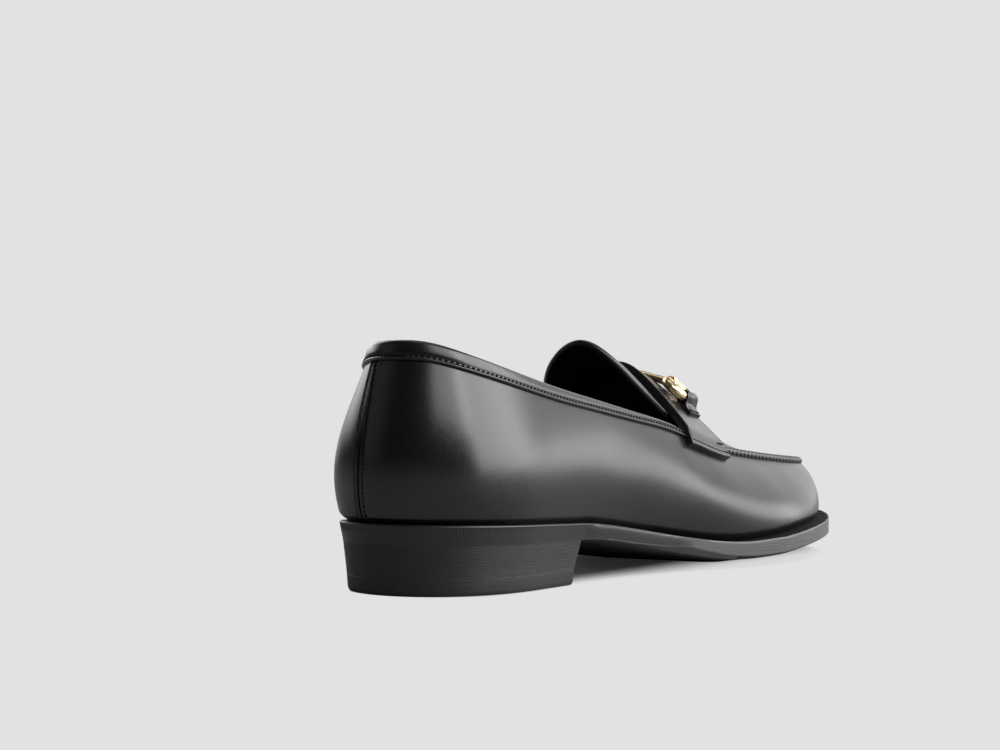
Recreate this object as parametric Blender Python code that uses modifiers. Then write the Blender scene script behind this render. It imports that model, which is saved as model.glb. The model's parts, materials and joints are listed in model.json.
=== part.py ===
"""A snaffle-bit loafer for the right foot, modelled in Blender from its last outwards.

Sizes are in millimetres. x runs from the back of the heel seat to the toe, y to the inner (medial)
side of the foot, and z up from the floor. An empty carries the shoe so that the origin of the scene
lies under the middle of its box.
"""

import math
from collections import namedtuple

import bmesh
import bpy
import numpy as np
from mathutils import Matrix, Vector

MM = 0.001
COLLECTION = "loafer"
TOOLS = "boolean_tools"

# Clearance between neighbouring pieces, and the distance under which vertices are merged
GAP = 0.3
WELD = 0.02

# Sole and heel
SOLE_LENGTH = 300.0
OUTSOLE_THICKNESS = 4.0
WELT_SETBACK = 0.1
INSOLE_THICKNESS = 3.0
INSOLE_CLEARANCE = 0.7
SEAT_BACK_HEIGHT = 16.9
SEAT_FRONT_HEIGHT = 15.2
BREAST_X = 75.0
BREAST_RAKE = 3.0
BREAST_MARGIN = 2.0
TREAD_START_X = 178.0
TREAD_END_X = 194.0
TOE_SPRING = 8.0
SPRING_POWER = 1.15
TREAD_BORDER = 14.0
TOP_PIECE_THICKNESS = 5.5
TOP_PIECE_CHAMFER = 0.5

# Upper
UPPER_WALL = 2.0
WALL_PULL = 0.42
THROAT_X = 164.0
INSTEP_BACK_X = 130.0
APRON_FAN_X = 258.0
ROOF_BACK_X = 165.0
ROOF_FRONT_X = 250.0
ROOF_BACK_ROUND = 0.24
ROOF_FRONT_ROUND = 0.7
PAST_SEAM_FALL = 0.45
SEAM_RISE = 1.3
SEAM_HALF_WIDTH = 1.7
SEAM_SHOULDER = 2.0
SEAM_FADE = 6.0

# Collar band, tongue and saddle strap
BAND_THICKNESS = 1.0
BAND_FRONT_X = 143.0
BAND_DEPTH_BACK = 7.0
BAND_DEPTH_FRONT = 3.6
TONGUE_THICKNESS = 2.4
STRAP_THICKNESS = 2.4
STRAP_LIFT = 0.3
STRAP_REAR_OVERLAP = 1.2
STRAP_FRONT_OVERLAP = 2.8
STRAP_REAR_SIDE_X = 146.5
STRAP_REAR_RIDGE_X = 158.5
STRAP_REAR_BOW = 1.5
STRAP_FRONT_SIDE_X = 176.0
STRAP_FRONT_RIDGE_X = 168.5
STRAP_BRIDGE_SHARE = 0.14
STRAP_SWELL_SHARE = 0.36

# Brass bit and the leather loops that hold it
BIT_X = 171.6
RING_SIDE_Y = 15.0
RING_WIRE_RADIUS = 1.75
RING_STRAIGHT = 6.5
RING_BEND_RADIUS = 4.2
RING_LIFT = 2.95
LOOP_WIDTH = 7.5
LOOP_OUTER_RADIUS = 2.65
LOOP_START_ANGLE = 50.0
LOOP_SWEEP_ANGLE = 220.0
LOOP_TAIL = 8.0
LOOP_TAIL_THICKNESS = 1.6
BAR_RADIUS = 1.9
BAR_WAIST_RADIUS = 1.3
BAR_LIFT = 2.5
BOSS_RADIUS = 2.6
BOSS_LENGTH = 4.0

# Columns on each side from the heel to the breast, the throat and the toe, and how bends draw them,
# and rows up the wall and over the apron
COLUMN_SPLIT = (14, 8, 18)
BEND_WEIGHT = 60.0
WALL_ROWS = 9
APRON_ROWS = 5

Station = namedtuple(
    "Station",
    "x breadth margin undercut rise welt top_x top_breadth top_z foot_lean top_lean",
)

# Each row is one place on the sole's edge. breadth is its distance from the long axis, margin the
# step from the edge in to the upper, undercut the bevel of the edge, rise its height over the middle
# of the tread, welt the welt's thickness, top_* the collar line or the apron seam above it, and the
# leans the wall's angles at its foot and its top.
HEEL_BACK = Station(0.4, -5.0, 2.0, 1.5, 0.0, 2.6, 9.2, -4.4, 84.4, 21, 18)
LATERAL = [
    Station(1.4, 9.4, 2.0, 1.5, 0.0, 2.6, 10.4, 6.8, 84.2, 21, 19),
    Station(10.6, 24.2, 2.2, 1.5, 0.0, 2.6, 18.4, 17.6, 80.6, 21, 20),
    Station(30.0, 32.8, 2.4, 1.5, 0.0, 2.4, 36.0, 24.6, 74.8, 20, 20),
    Station(54.0, 33.8, 2.3, 1.8, 0.0, 2.0, 60.0, 27.8, 68.7, 19, 20),
    Station(82.0, 33.4, 2.0, 3.0, 0.2, 1.4, 88.0, 29.2, 63.2, 19, 22),
    Station(113.0, 35.0, 2.0, 5.0, 1.5, 1.2, 116.0, 30.4, 57.8, 20, 26),
    Station(143.0, 41.0, 3.0, 3.5, 2.5, 1.6, 142.0, 31.8, 52.2, 22, 32),
    Station(172.0, 48.5, 4.2, 1.0, 2.8, 2.3, 166.0, 33.0, 44.6, 21, 42),
    Station(203.0, 52.6, 5.0, 0.8, 3.7, 2.4, 196.0, 32.6, 39.8, 18, 48),
    Station(233.0, 48.8, 4.8, 0.8, 3.8, 2.4, 226.0, 31.4, 36.8, 15, 50),
    Station(261.0, 37.6, 4.4, 0.8, 2.5, 2.4, 253.5, 27.6, 34.7, 12, 50),
    Station(283.0, 23.2, 4.6, 0.8, 1.2, 2.4, 271.0, 19.0, 33.7, 10, 50),
    Station(296.0, 8.4, 5.0, 0.8, 0.7, 2.4, 281.0, 8.8, 33.4, 9, 50),
]
TOE_TIP = Station(SOLE_LENGTH, -4.0, 5.6, 0.8, 0.6, 2.4, 284.5, -4.0, 33.3, 9, 50)
MEDIAL = [
    Station(5.4, 18.2, 2.0, 1.5, 0.0, 2.6, 13.6, 12.9, 83.4, 20, 19),
    Station(15.0, 29.0, 2.2, 1.5, 0.0, 2.6, 22.0, 20.0, 80.6, 20, 20),
    Station(32.0, 33.9, 2.4, 1.5, 0.0, 2.4, 38.0, 25.4, 76.0, 19, 20),
    Station(54.0, 33.6, 2.3, 1.8, 0.0, 2.0, 60.0, 28.0, 70.2, 20, 18),
    Station(82.0, 30.2, 2.0, 3.5, 0.2, 1.4, 88.0, 28.8, 65.2, 22, 18),
    Station(113.0, 27.4, 2.0, 6.0, 1.5, 1.2, 116.0, 29.4, 60.2, 26, 22),
    Station(143.0, 29.8, 3.0, 5.0, 2.5, 1.6, 142.0, 30.6, 54.6, 26, 30),
    Station(172.0, 38.2, 4.2, 1.5, 2.8, 2.3, 166.0, 31.8, 46.0, 22, 42),
    Station(203.0, 46.6, 5.0, 0.8, 3.4, 2.4, 196.0, 31.8, 40.8, 18, 48),
    Station(233.0, 48.8, 5.0, 0.8, 3.4, 2.4, 226.0, 31.2, 37.2, 15, 50),
    Station(261.0, 43.2, 5.2, 0.8, 2.4, 2.4, 253.5, 29.2, 34.9, 12, 50),
    Station(283.0, 31.8, 5.4, 0.8, 1.2, 2.4, 271.0, 22.6, 33.8, 10, 50),
    Station(296.0, 18.2, 5.6, 0.8, 0.7, 2.4, 281.0, 14.2, 33.4, 9, 50),
]
Section = namedtuple("Section", "edge margin undercut rise welt top foot_lean top_lean")

# The ridge of the instep, from the tongue's tip to the end of the apron
RidgePoint = namedtuple("RidgePoint", "x z")
RIDGE = [
    RidgePoint(INSTEP_BACK_X, 83.4),
    RidgePoint(145.0, 77.6),
    RidgePoint(159.0, 71.6),
    RidgePoint(178.0, 64.2),
    RidgePoint(200.0, 51.0),
    RidgePoint(225.0, 41.4),
    RidgePoint(250.0, 37.2),
    RidgePoint(268.0, 35.2),
    RidgePoint(285.0, 33.4),
]

# Half-width of the tongue along its length
TonguePoint = namedtuple("TonguePoint", "x half_width")
TONGUE = [
    TonguePoint(131.0, 0.0),
    TonguePoint(131.5, 6.0),
    TonguePoint(133.4, 12.0),
    TonguePoint(137.6, 17.2),
    TonguePoint(145.0, 21.8),
    TonguePoint(155.0, 26.0),
    TonguePoint(THROAT_X - GAP, 29.6),
]

# Sole edge from its upper arris (drop 0) down to the tread (drop 1)
EdgeLevel = namedtuple("EdgeLevel", "drop inset undercut_share")
SOLE_EDGE = [
    EdgeLevel(0.0, 0.0, 0.0),
    EdgeLevel(0.65, 0.15, 0.35),
    EdgeLevel(1.0, 0.9, 1.0),
]

# How far the heel's side stands in from the sole's edge, from its top to the floor
HeelLevel = namedtuple("HeelLevel", "drop inset")
HEEL_PROFILE = [
    HeelLevel(0.0, 1.8),
    HeelLevel(0.35, 2.6),
    HeelLevel(0.7, 2.8),
    HeelLevel(1.0, 2.5),
]

# Principled base colour, roughness and metallic value of each material
Finish = namedtuple("Finish", "colour roughness metallic")
FINISHES = {
    "calf_upper": Finish((0.012, 0.012, 0.013), 0.28, 0.0),
    "calf_lining": Finish((0.018, 0.017, 0.017), 0.6, 0.0),
    "sole_edge": Finish((0.03, 0.03, 0.032), 0.38, 0.0),
    "heel_stack": Finish((0.03, 0.03, 0.032), 0.42, 0.0),
    "heel_top_piece": Finish((0.02, 0.02, 0.02), 0.55, 0.0),
    "brass_bit": Finish((0.83, 0.62, 0.3), 0.16, 1.0),
}


def smooth_curve(knots, rows, period=None):
    """Cubic spline through the rows, closed if it has a period, with natural ends if not."""
    rows = np.asarray(rows, float)
    if period:
        knots = np.append(knots, period)
        rows = np.vstack([rows, rows[:1]])
    knots = np.asarray(knots, float)
    steps = np.diff(knots)[:, None]
    slopes = np.diff(rows, axis=0) / steps
    count = len(knots)
    system = np.eye(count)
    target = np.zeros_like(rows)
    for i in range(1, count - 1):
        system[i, i - 1:i + 2] = steps[i - 1, 0], 2 * (steps[i - 1, 0] + steps[i, 0]), steps[i, 0]
        target[i] = 6 * (slopes[i] - slopes[i - 1])
    if period:
        first, last = steps[0, 0], steps[-1, 0]
        system[0, :2] = 2 * (last + first), first
        system[0, -2] = last
        target[0] = 6 * (slopes[0] - slopes[-1])
        system[-1, 0] = -1.0
    bends = np.linalg.solve(system, target)

    def at(places):
        places = np.atleast_1d(np.asarray(places, float))
        if period:
            places = np.mod(places, period)
        i = np.clip(np.searchsorted(knots, places, side="right") - 1, 0, count - 2)
        step = steps[i]
        right = (places - knots[i])[:, None] / step
        left = 1.0 - right
        curve = left * rows[i] + right * rows[i + 1]
        bow = (left ** 3 - left) * bends[i] + (right ** 3 - right) * bends[i + 1]
        return curve + bow * step ** 2 / 6

    return at


def signed_row(station, side):
    """A station's columns with its breadths turned into y on one side of the foot."""
    return [
        station.x, side * station.breadth, station.margin, station.undercut, station.rise, station.welt,
        station.top_x, side * station.top_breadth, station.top_z,
        math.radians(station.foot_lean), math.radians(station.top_lean),
    ]


def perimeter_curve():
    """Closed curve of all the station columns, from the heel back by the lateral side to the toe."""
    rows = [signed_row(HEEL_BACK, -1)]
    rows += [signed_row(row, -1) for row in LATERAL]
    rows += [signed_row(TOE_TIP, -1)]
    rows += [signed_row(row, 1) for row in reversed(MEDIAL)]
    rows = np.array(rows)
    chords = np.linalg.norm(np.roll(rows, -1, axis=0)[:, :2] - rows[:, :2], axis=1)
    knots = np.concatenate([[0.0], np.cumsum(chords)])
    toe = knots[len(LATERAL) + 1]
    return smooth_curve(knots[:-1], rows, knots[-1]), toe, knots[-1]


PERIMETER, TOE_PLACE, ROUND = perimeter_curve()
RIDGE_CURVE = smooth_curve([p.x for p in RIDGE], [[p.z] for p in RIDGE])


def section(places):
    """Named columns of the stations at places along the perimeter."""
    columns = PERIMETER(places)
    margin, undercut, rise, welt = columns[:, 2:6].T
    foot_lean, top_lean = columns[:, 9:].T
    rise = np.maximum(rise, 0.0)
    return Section(columns[:, :2], margin, undercut, rise, welt, columns[:, 6:9], foot_lean, top_lean)


def ridge(x):
    return RIDGE_CURVE(np.ravel(x))[:, 0].reshape(np.shape(x))


def outward_normals(places):
    """Unit plan vectors that point out of the sole's edge."""
    reach = 0.5
    along = section(places + reach).edge - section(places - reach).edge
    along /= np.linalg.norm(along, axis=1)[:, None]
    return np.column_stack([along[:, 1], -along[:, 0]])


def place_at(x, side, on_top=False):
    """Place on one side of the shoe where the sole's edge, or the top line, reaches x."""
    fine = np.linspace(0.0, TOE_PLACE if side < 0 else TOE_PLACE - ROUND, 2000)
    found = section(fine)
    reach = found.top[:, 0] if on_top else found.edge[:, 0]
    i = np.argmax(reach >= x)
    share = (x - reach[i - 1]) / (reach[i] - reach[i - 1])
    return fine[i - 1] + (fine[i] - fine[i - 1]) * share


def column_places():
    """Places right round the shoe, closer in the bends, with a column at each breast and throat corner."""
    fine = np.linspace(0.0, ROUND, 2001)
    bend = np.linalg.norm(np.diff(outward_normals(fine), axis=0), axis=1)
    measure = np.concatenate([[0.0], np.cumsum(np.diff(fine) + BEND_WEIGHT * bend)])
    halves = {}
    for side, start, end in ((-1, 0.0, TOE_PLACE), (1, ROUND, TOE_PLACE)):
        corners = [place_at(BREAST_X + BREAST_MARGIN, side), place_at(THROAT_X, side, on_top=True)]
        marks = np.interp([start, *np.mod(corners, ROUND), end], fine, measure)
        runs = zip(marks, marks[1:], COLUMN_SPLIT)
        line = [np.linspace(low, high, count, endpoint=False) for low, high, count in runs]
        halves[side] = np.interp(np.concatenate(line), measure, fine)
    return np.concatenate([halves[-1], [TOE_PLACE], halves[1][:0:-1]])


PLACES = column_places()


def tread_height(x):
    """Height of the outsole's underside along the shoe: seat, arch, flat tread and toe spring."""
    x = np.asarray(x, float)
    fall = (SEAT_FRONT_HEIGHT - SEAT_BACK_HEIGHT) / BREAST_X
    seat = SEAT_BACK_HEIGHT + fall * x
    span = TREAD_START_X - BREAST_X
    t = np.clip((x - BREAST_X) / span, 0.0, 1.0)
    arch = SEAT_FRONT_HEIGHT * (2 * t ** 3 - 3 * t ** 2 + 1)
    arch = arch + 2 * fall * span * (t ** 3 - 2 * t ** 2 + t)
    rise = np.clip((x - TREAD_END_X) / (SOLE_LENGTH - TREAD_END_X), 0.0, None)
    return np.where(x < BREAST_X, seat, arch + TOE_SPRING * rise ** SPRING_POWER)


def edge_plan(places, inset):
    """The sole's edge in plan, moved inwards by inset."""
    inset = np.broadcast_to(inset, places.shape)
    return section(places).edge - outward_normals(places) * inset[:, None]


def sole_top(places, plan):
    """Height of the outsole's upper side under plan points near its edge."""
    return tread_height(plan[:, 0]) + section(places).rise + OUTSOLE_THICKNESS


def wall_points(places, levels):
    """Rows of points on the upper's outer wall, from its foot (level 0) to its top line (level 1)."""
    part = section(places)
    out = np.column_stack([outward_normals(places), np.zeros(len(places))])
    up = np.array([0.0, 0.0, 1.0])
    plan = edge_plan(places, part.margin)
    foot = np.column_stack([plan, sole_top(places, plan) + GAP])
    top = part.top
    pull = WALL_PULL * (top[:, 2] - foot[:, 2])[:, None]
    foot_lean = part.foot_lean[:, None]
    top_lean = part.top_lean[:, None]
    low = foot + pull * (up * np.cos(foot_lean) + out * np.sin(foot_lean))
    high = top + pull * (out * np.sin(top_lean) - up * np.cos(top_lean))
    t = np.asarray(levels, float).reshape(len(levels), -1, 1)
    lower = foot * (1 - t) ** 3 + low * 3 * t * (1 - t) ** 2
    return lower + high * 3 * t ** 2 * (1 - t) + top * t ** 3


def wall_normals(places, levels):
    reach = 0.01
    levels = np.asarray(levels, float).reshape(len(levels), -1)
    along = wall_points(places + reach, levels) - wall_points(places - reach, levels)
    upward = wall_points(places, levels + reach) - wall_points(places, levels - reach)
    normals = np.cross(along, upward)
    return normals / np.linalg.norm(normals, axis=2, keepdims=True)


def roof(share, x):
    """Fall of the instep from its ridge (0) to the apron seam (1), rounder on top towards the toe."""
    bend = np.interp(x, [ROOF_BACK_X, ROOF_FRONT_X], [ROOF_BACK_ROUND, ROOF_FRONT_ROUND])
    return (np.sqrt(bend ** 2 + share ** 2) - bend) / (np.sqrt(bend ** 2 + 1) - bend)


def seam_lines():
    """y and z of the apron seam and, behind the throat, of the collar as functions of x."""
    lines = {}
    for side, rows in ((-1, LATERAL), (1, MEDIAL)):
        rows = [row for row in rows if row.top_x > INSTEP_BACK_X]
        table = [[row.top_x, side * row.top_breadth, row.top_z] for row in rows]
        table.append([TOE_TIP.top_x, -TOE_TIP.top_breadth, TOE_TIP.top_z])
        first, second = np.array(table[0]), np.array(table[1])
        share = (INSTEP_BACK_X - first[0]) / (second[0] - first[0])
        table = np.array([first + (second - first) * share, *table])
        lines[side] = smooth_curve(table[:, 0], table[:, 1:])
    return lines


SEAMS = seam_lines()


def instep_height(x, y):
    """Height of the instep's outer face over a point in plan, led on down past the seam."""
    x, y = np.broadcast_arrays(np.asarray(x, float), np.asarray(y, float))
    flat_x, flat_y = x.ravel(), y.ravel()
    lateral = SEAMS[-1](flat_x)
    medial = SEAMS[1](flat_x)
    seam = np.where((flat_y < 0)[:, None], lateral, medial)
    top = ridge(flat_x)
    past = np.clip(np.abs(flat_y) - np.abs(seam[:, 0]), 0.0, None)
    fall = (top - seam[:, 1]) * roof(np.abs(flat_y / seam[:, 0]), flat_x)
    height = top - fall - PAST_SEAM_FALL * past
    return height.reshape(x.shape)


def instep_normal(x, y):
    reach = 0.25
    slope_x = (instep_height(x + reach, y) - instep_height(x - reach, y)) / (2 * reach)
    slope_y = (instep_height(x, y + reach) - instep_height(x, y - reach)) / (2 * reach)
    normal = np.stack([-slope_x, -slope_y, np.ones_like(slope_x)], axis=-1)
    return normal / np.linalg.norm(normal, axis=-1, keepdims=True)


def instep_points(x, y, lift):
    """Points at a distance over the instep's outer face."""
    x, y = np.broadcast_arrays(np.asarray(x, float), np.asarray(y, float))
    base = np.stack([x, y, instep_height(x, y)], axis=-1)
    return base + instep_normal(x, y) * lift


def material(name):
    found = bpy.data.materials.get(name)
    if found:
        return found
    finish = FINISHES[name]
    made = bpy.data.materials.new(name)
    made.use_nodes = True
    shader = made.node_tree.nodes["Principled BSDF"]
    shader.inputs["Base Color"].default_value = (*finish.colour, 1.0)
    shader.inputs["Roughness"].default_value = finish.roughness
    shader.inputs["Metallic"].default_value = finish.metallic
    made.diffuse_color = (*finish.colour, 1.0)
    return made


def place(name, data, finish, carrier):
    """Adds an object of the shoe, on the empty that carries it."""
    data.materials.append(material(finish))
    obj = bpy.data.objects.new(name, data)
    bpy.data.collections[COLLECTION].objects.link(obj)
    obj.parent = carrier
    return obj


def mesh_of(name, bm, sharp_angle=40.0):
    bmesh.ops.remove_doubles(bm, verts=bm.verts, dist=WELD * MM)
    mesh = bpy.data.meshes.new(name)
    bm.to_mesh(mesh)
    bm.free()
    mesh.shade_smooth()
    mesh.set_sharp_from_angle(angle=math.radians(sharp_angle))
    return mesh


def add_row(bm, points):
    return [bm.verts.new(Vector(point) * MM) for point in points]


def skin_rows(bm, rows, closed):
    """Faces between neighbouring rows of vertices, which may run right round."""
    for low, high in zip(rows, rows[1:]):
        count = len(low)
        for i in range(count if closed else count - 1):
            j = (i + 1) % count
            corners = [low[i], low[j], high[j], high[i]]
            bm.faces.new(list(dict.fromkeys(corners)))


def cap_row(bm, row):
    """Closes a ring of vertices with rungs from its lateral to its medial half."""
    count = len(row)
    half = count // 2
    for i in range(half):
        corners = [row[i], row[i + 1], row[(count - i - 1) % count], row[(count - i) % count]]
        corners = list(dict.fromkeys(corners))
        if len(corners) > 2:
            bm.faces.new(corners)


def loft(name, rings, finish, carrier, sharp_angle=40.0):
    """Closed solid through rings of points, each starting at the heel, capped at both ends."""
    bm = bmesh.new()
    rows = [add_row(bm, ring) for ring in rings]
    skin_rows(bm, rows, closed=True)
    cap_row(bm, rows[0])
    cap_row(bm, rows[-1])
    bmesh.ops.recalc_face_normals(bm, faces=bm.faces)
    return place(name, mesh_of(name, bm, sharp_angle), finish, carrier)


def shell(name, grid, thickness, finish, carrier):
    """Open sheet of points with a wall behind it: the sheet is the side that faces the foot."""
    bm = bmesh.new()
    rows = [add_row(bm, line) for line in grid]
    skin_rows(bm, rows, closed=False)
    obj = place(name, mesh_of(name, bm), finish, carrier)
    wall = obj.modifiers.new("wall", "SOLIDIFY")
    wall.thickness = thickness * MM
    wall.offset = 1.0
    wall.use_even_offset = True
    return obj


def ring_at(plan, height):
    return np.column_stack([plan, np.broadcast_to(height, len(plan))])


def make_outsole(carrier):
    part = section(PLACES)
    rings = []
    for level in SOLE_EDGE:
        plan = edge_plan(PLACES, level.inset + level.undercut_share * part.undercut)
        rings.append(ring_at(plan, sole_top(PLACES, plan) - OUTSOLE_THICKNESS * level.drop))
    border = edge_plan(PLACES, TREAD_BORDER)
    rings.append(ring_at(border, tread_height(border[:, 0])))
    loft("outsole", rings, "sole_edge", carrier)


def make_welt(carrier):
    """Strip on the outsole's edge whose inner side follows the upper."""
    part = section(PLACES)
    edge = edge_plan(PLACES, WELT_SETBACK)
    wall = wall_points(PLACES, np.linspace(0.0, 0.2, 21))
    covered = wall[:, :, 2] - wall[0, :, 2] <= part.welt + GAP
    out = outward_normals(PLACES)
    reach = np.einsum("tpk,pk->tp", wall[:, :, :2] - wall[0, :, :2], out)
    widest = np.where(covered, reach, 0.0).max(axis=0)
    inner = wall[0, :, :2] + out * (widest + GAP)[:, None]
    floor_inner = sole_top(PLACES, inner) + GAP
    floor_edge = sole_top(PLACES, edge) + GAP
    rings = [
        ring_at(inner, floor_inner),
        ring_at(edge, floor_edge),
        ring_at(edge, floor_edge + part.welt),
        ring_at(inner, floor_inner + part.welt),
    ]
    bm = bmesh.new()
    rows = [add_row(bm, ring) for ring in rings]
    skin_rows(bm, rows + rows[:1], closed=True)
    bmesh.ops.recalc_face_normals(bm, faces=bm.faces)
    place("welt", mesh_of("welt", bm), "sole_edge", carrier)


def heel_ring(inset, breast_x):
    """The sole's edge behind the breast, moved in, and closed by the straight breast."""
    lateral = edge_plan(np.linspace(0.0, place_at(breast_x, -1), 18), inset)
    medial = edge_plan(np.linspace(place_at(breast_x, 1), 0.0, 18), inset)[:-1]
    return np.vstack([lateral, medial])


def make_heel(carrier):
    rings = []
    floor = TOP_PIECE_THICKNESS + GAP
    for level in HEEL_PROFILE:
        plan = heel_ring(level.inset, BREAST_X - BREAST_RAKE * level.drop)
        height = (tread_height(plan[:, 0]) - GAP) * (1 - level.drop) + floor * level.drop
        rings.append(ring_at(plan, height))
    loft("heel_stack", rings, "heel_stack", carrier)
    base = HEEL_PROFILE[-1].inset
    breast = BREAST_X - BREAST_RAKE
    chamfer = TOP_PIECE_CHAMFER
    lowest = [
        ring_at(heel_ring(base, breast), TOP_PIECE_THICKNESS),
        ring_at(heel_ring(base, breast), chamfer),
        ring_at(heel_ring(base + chamfer, breast - chamfer), 0.0),
    ]
    loft("top_piece", lowest, "heel_top_piece", carrier)


def make_insole(carrier):
    plan = edge_plan(PLACES, section(PLACES).margin + UPPER_WALL + INSOLE_CLEARANCE)
    floor = sole_top(PLACES, plan) + GAP
    rings = [ring_at(plan, floor), ring_at(plan, floor + INSOLE_THICKNESS)]
    loft("insole", rings, "calf_lining", carrier)


def seam_bead(top_x):
    """Share of the apron seam's rise, which fades out under the saddle strap."""
    return np.clip((top_x - STRAP_FRONT_SIDE_X) / SEAM_FADE, 0.0, 1.0)


def make_upper(carrier):
    """Skirt and quarters round the foot, closed over the toe by the apron, as one wall."""
    top = section(PLACES).top
    height = top[:, 2] - wall_points(PLACES, [0.0])[0, :, 2]
    shoulder = 1.0 - SEAM_SHOULDER / height.max()
    levels = np.concatenate([np.linspace(0.0, 0.9, WALL_ROWS), [shoulder, 1.0]])
    grid = wall_points(PLACES, levels)
    grid[-1, :, 2] += seam_bead(top[:, 0]) * SEAM_RISE
    bm = bmesh.new()
    rows = [add_row(bm, line) for line in grid]
    skin_rows(bm, rows, closed=True)
    front = np.flatnonzero(top[:, 0] >= THROAT_X - WELD)
    pairs = (len(PLACES) - front) % len(PLACES)
    spine_x = np.minimum(0.5 * (top[front, 0] + top[pairs, 0]), APRON_FAN_X)
    spine_y = 0.5 * (SEAMS[-1]([APRON_FAN_X])[0, 0] + SEAMS[1]([APRON_FAN_X])[0, 0])
    spine_y = spine_y * np.clip((spine_x - THROAT_X) / (APRON_FAN_X - THROAT_X), 0.0, 1.0)
    start = top[front, :2]
    reach = np.column_stack([spine_x, spine_y]) - start
    inward = SEAM_HALF_WIDTH / np.linalg.norm(reach, axis=1)
    fall = top[front, 2] - ridge(top[front, 0])
    apron = [[rows[-1][i] for i in front]]
    for step in np.linspace(0.0, 1.0, APRON_ROWS + 1):
        share = inward + (1 - inward) * step
        plan = start + reach * share[:, None]
        height = ridge(plan[:, 0]) + fall * roof(1 - share, plan[:, 0])
        apron.append(add_row(bm, ring_at(plan, height)))
    skin_rows(bm, apron, closed=False)
    obj = place("upper", mesh_of("upper", bm), "calf_upper", carrier)
    wall = obj.modifiers.new("wall", "SOLIDIFY")
    wall.thickness = UPPER_WALL * MM
    wall.offset = -1.0
    wall.use_even_offset = True


def make_collar_band(carrier):
    """Raised band round the collar, cut from the upper's own wall."""
    lateral = place_at(BAND_FRONT_X, -1, on_top=True)
    medial = place_at(BAND_FRONT_X, 1, on_top=True)
    columns = np.sort(np.concatenate([PLACES, PLACES - ROUND]))
    columns = columns[(columns > medial + 1.0) & (columns < lateral - 1.0)]
    places = np.concatenate([[medial], columns, [lateral]])
    share = (section(places).top[:, 0] - HEEL_BACK.top_x) / (BAND_FRONT_X - HEEL_BACK.top_x)
    depth = BAND_DEPTH_BACK + (BAND_DEPTH_FRONT - BAND_DEPTH_BACK) * np.clip(share, 0.0, 1.0)
    fine = np.linspace(0.6, 1.0, 41)
    steps = np.linalg.norm(np.diff(wall_points(places, fine), axis=0), axis=2)
    below_top = np.vstack([np.cumsum(steps[::-1], axis=0)[::-1], np.zeros(len(places))])
    start = np.array([np.interp(-depth[i], -below_top[:, i], fine) for i in range(len(places))])
    levels = [start, 0.5 * (start + 1.0), np.ones(len(places))]
    grid = wall_points(places, levels) + GAP * wall_normals(places, levels)
    shell("collar_band", grid, BAND_THICKNESS, "calf_upper", carrier)


def make_tongue(carrier):
    back_edge = smooth_curve([p.half_width for p in TONGUE], [[p.x] for p in TONGUE])
    front = TONGUE[-1]
    line_y = front.half_width * np.linspace(-1.0, 1.0, 15)
    back_x = back_edge(np.abs(line_y))[:, 0]
    grid = []
    for step in np.linspace(0.0, 1.0, 9):
        line_x = front.x + (back_x - front.x) * step
        grid.append(instep_points(line_x, line_y, -TONGUE_THICKNESS))
    shell("tongue", grid, TONGUE_THICKNESS, "calf_upper", carrier)


def strap_plan(across, along):
    """Plan point of the saddle strap: across from -1 to 1, along from its rear to its front edge."""
    side = np.abs(across)
    rear = STRAP_REAR_RIDGE_X + (STRAP_REAR_SIDE_X - STRAP_REAR_RIDGE_X) * side ** STRAP_REAR_BOW
    swell = np.clip((side - STRAP_BRIDGE_SHARE) / STRAP_SWELL_SHARE, 0.0, 1.0)
    swell = swell * swell * (3 - 2 * swell)
    front = STRAP_FRONT_RIDGE_X + (STRAP_FRONT_SIDE_X - STRAP_FRONT_RIDGE_X) * swell
    x = rear + (front - rear) * along
    overlap = STRAP_REAR_OVERLAP + (STRAP_FRONT_OVERLAP - STRAP_REAR_OVERLAP) * along
    lateral = np.abs(SEAMS[-1](x)[:, 0]) + overlap
    medial = np.abs(SEAMS[1](x)[:, 0]) + overlap
    return x, across * np.where(across < 0, lateral, medial)


def make_saddle_strap(carrier):
    across = np.linspace(-1.0, 1.0, 25)
    grid = []
    for along in np.linspace(0.0, 1.0, 7):
        x, y = strap_plan(across, along)
        grid.append(instep_points(x, y, GAP + STRAP_LIFT))
    shell("saddle_strap", grid[::-1], STRAP_THICKNESS, "calf_upper", carrier)


def bit_frame(side):
    """Matrix of one ring: x along the shoe, y down its side, z out of the strap, in millimetres."""
    lift = GAP + STRAP_LIFT + STRAP_THICKNESS + RING_LIFT
    y = side * RING_SIDE_Y
    centre = instep_points(BIT_X, y, lift)
    normal = Vector(instep_normal(BIT_X, y))
    along = Vector((1.0, 0.0, 0.0))
    along = (along - normal * along.dot(normal)).normalized()
    down = normal.cross(along)
    if down.y * side < 0:
        down.negate()
    turn = Matrix((along, down, normal)).transposed()
    return Matrix.Translation(Vector(centre)) @ turn.to_4x4()


def wire(name, points, radii, closed, carrier):
    """Brass wire along points, thick as the radii say."""
    curve = bpy.data.curves.new(name, "CURVE")
    curve.dimensions = "3D"
    curve.bevel_depth = MM
    curve.bevel_resolution = 2
    curve.use_fill_caps = True
    spline = curve.splines.new("POLY")
    spline.points.add(len(points) - 1)
    for slot, point, radius in zip(spline.points, points, radii):
        slot.co = (*(Vector(point) * MM), 1.0)
        slot.radius = radius
    spline.use_cyclic_u = closed
    spline.use_smooth = True
    return place(name, curve, "brass_bit", carrier)


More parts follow.
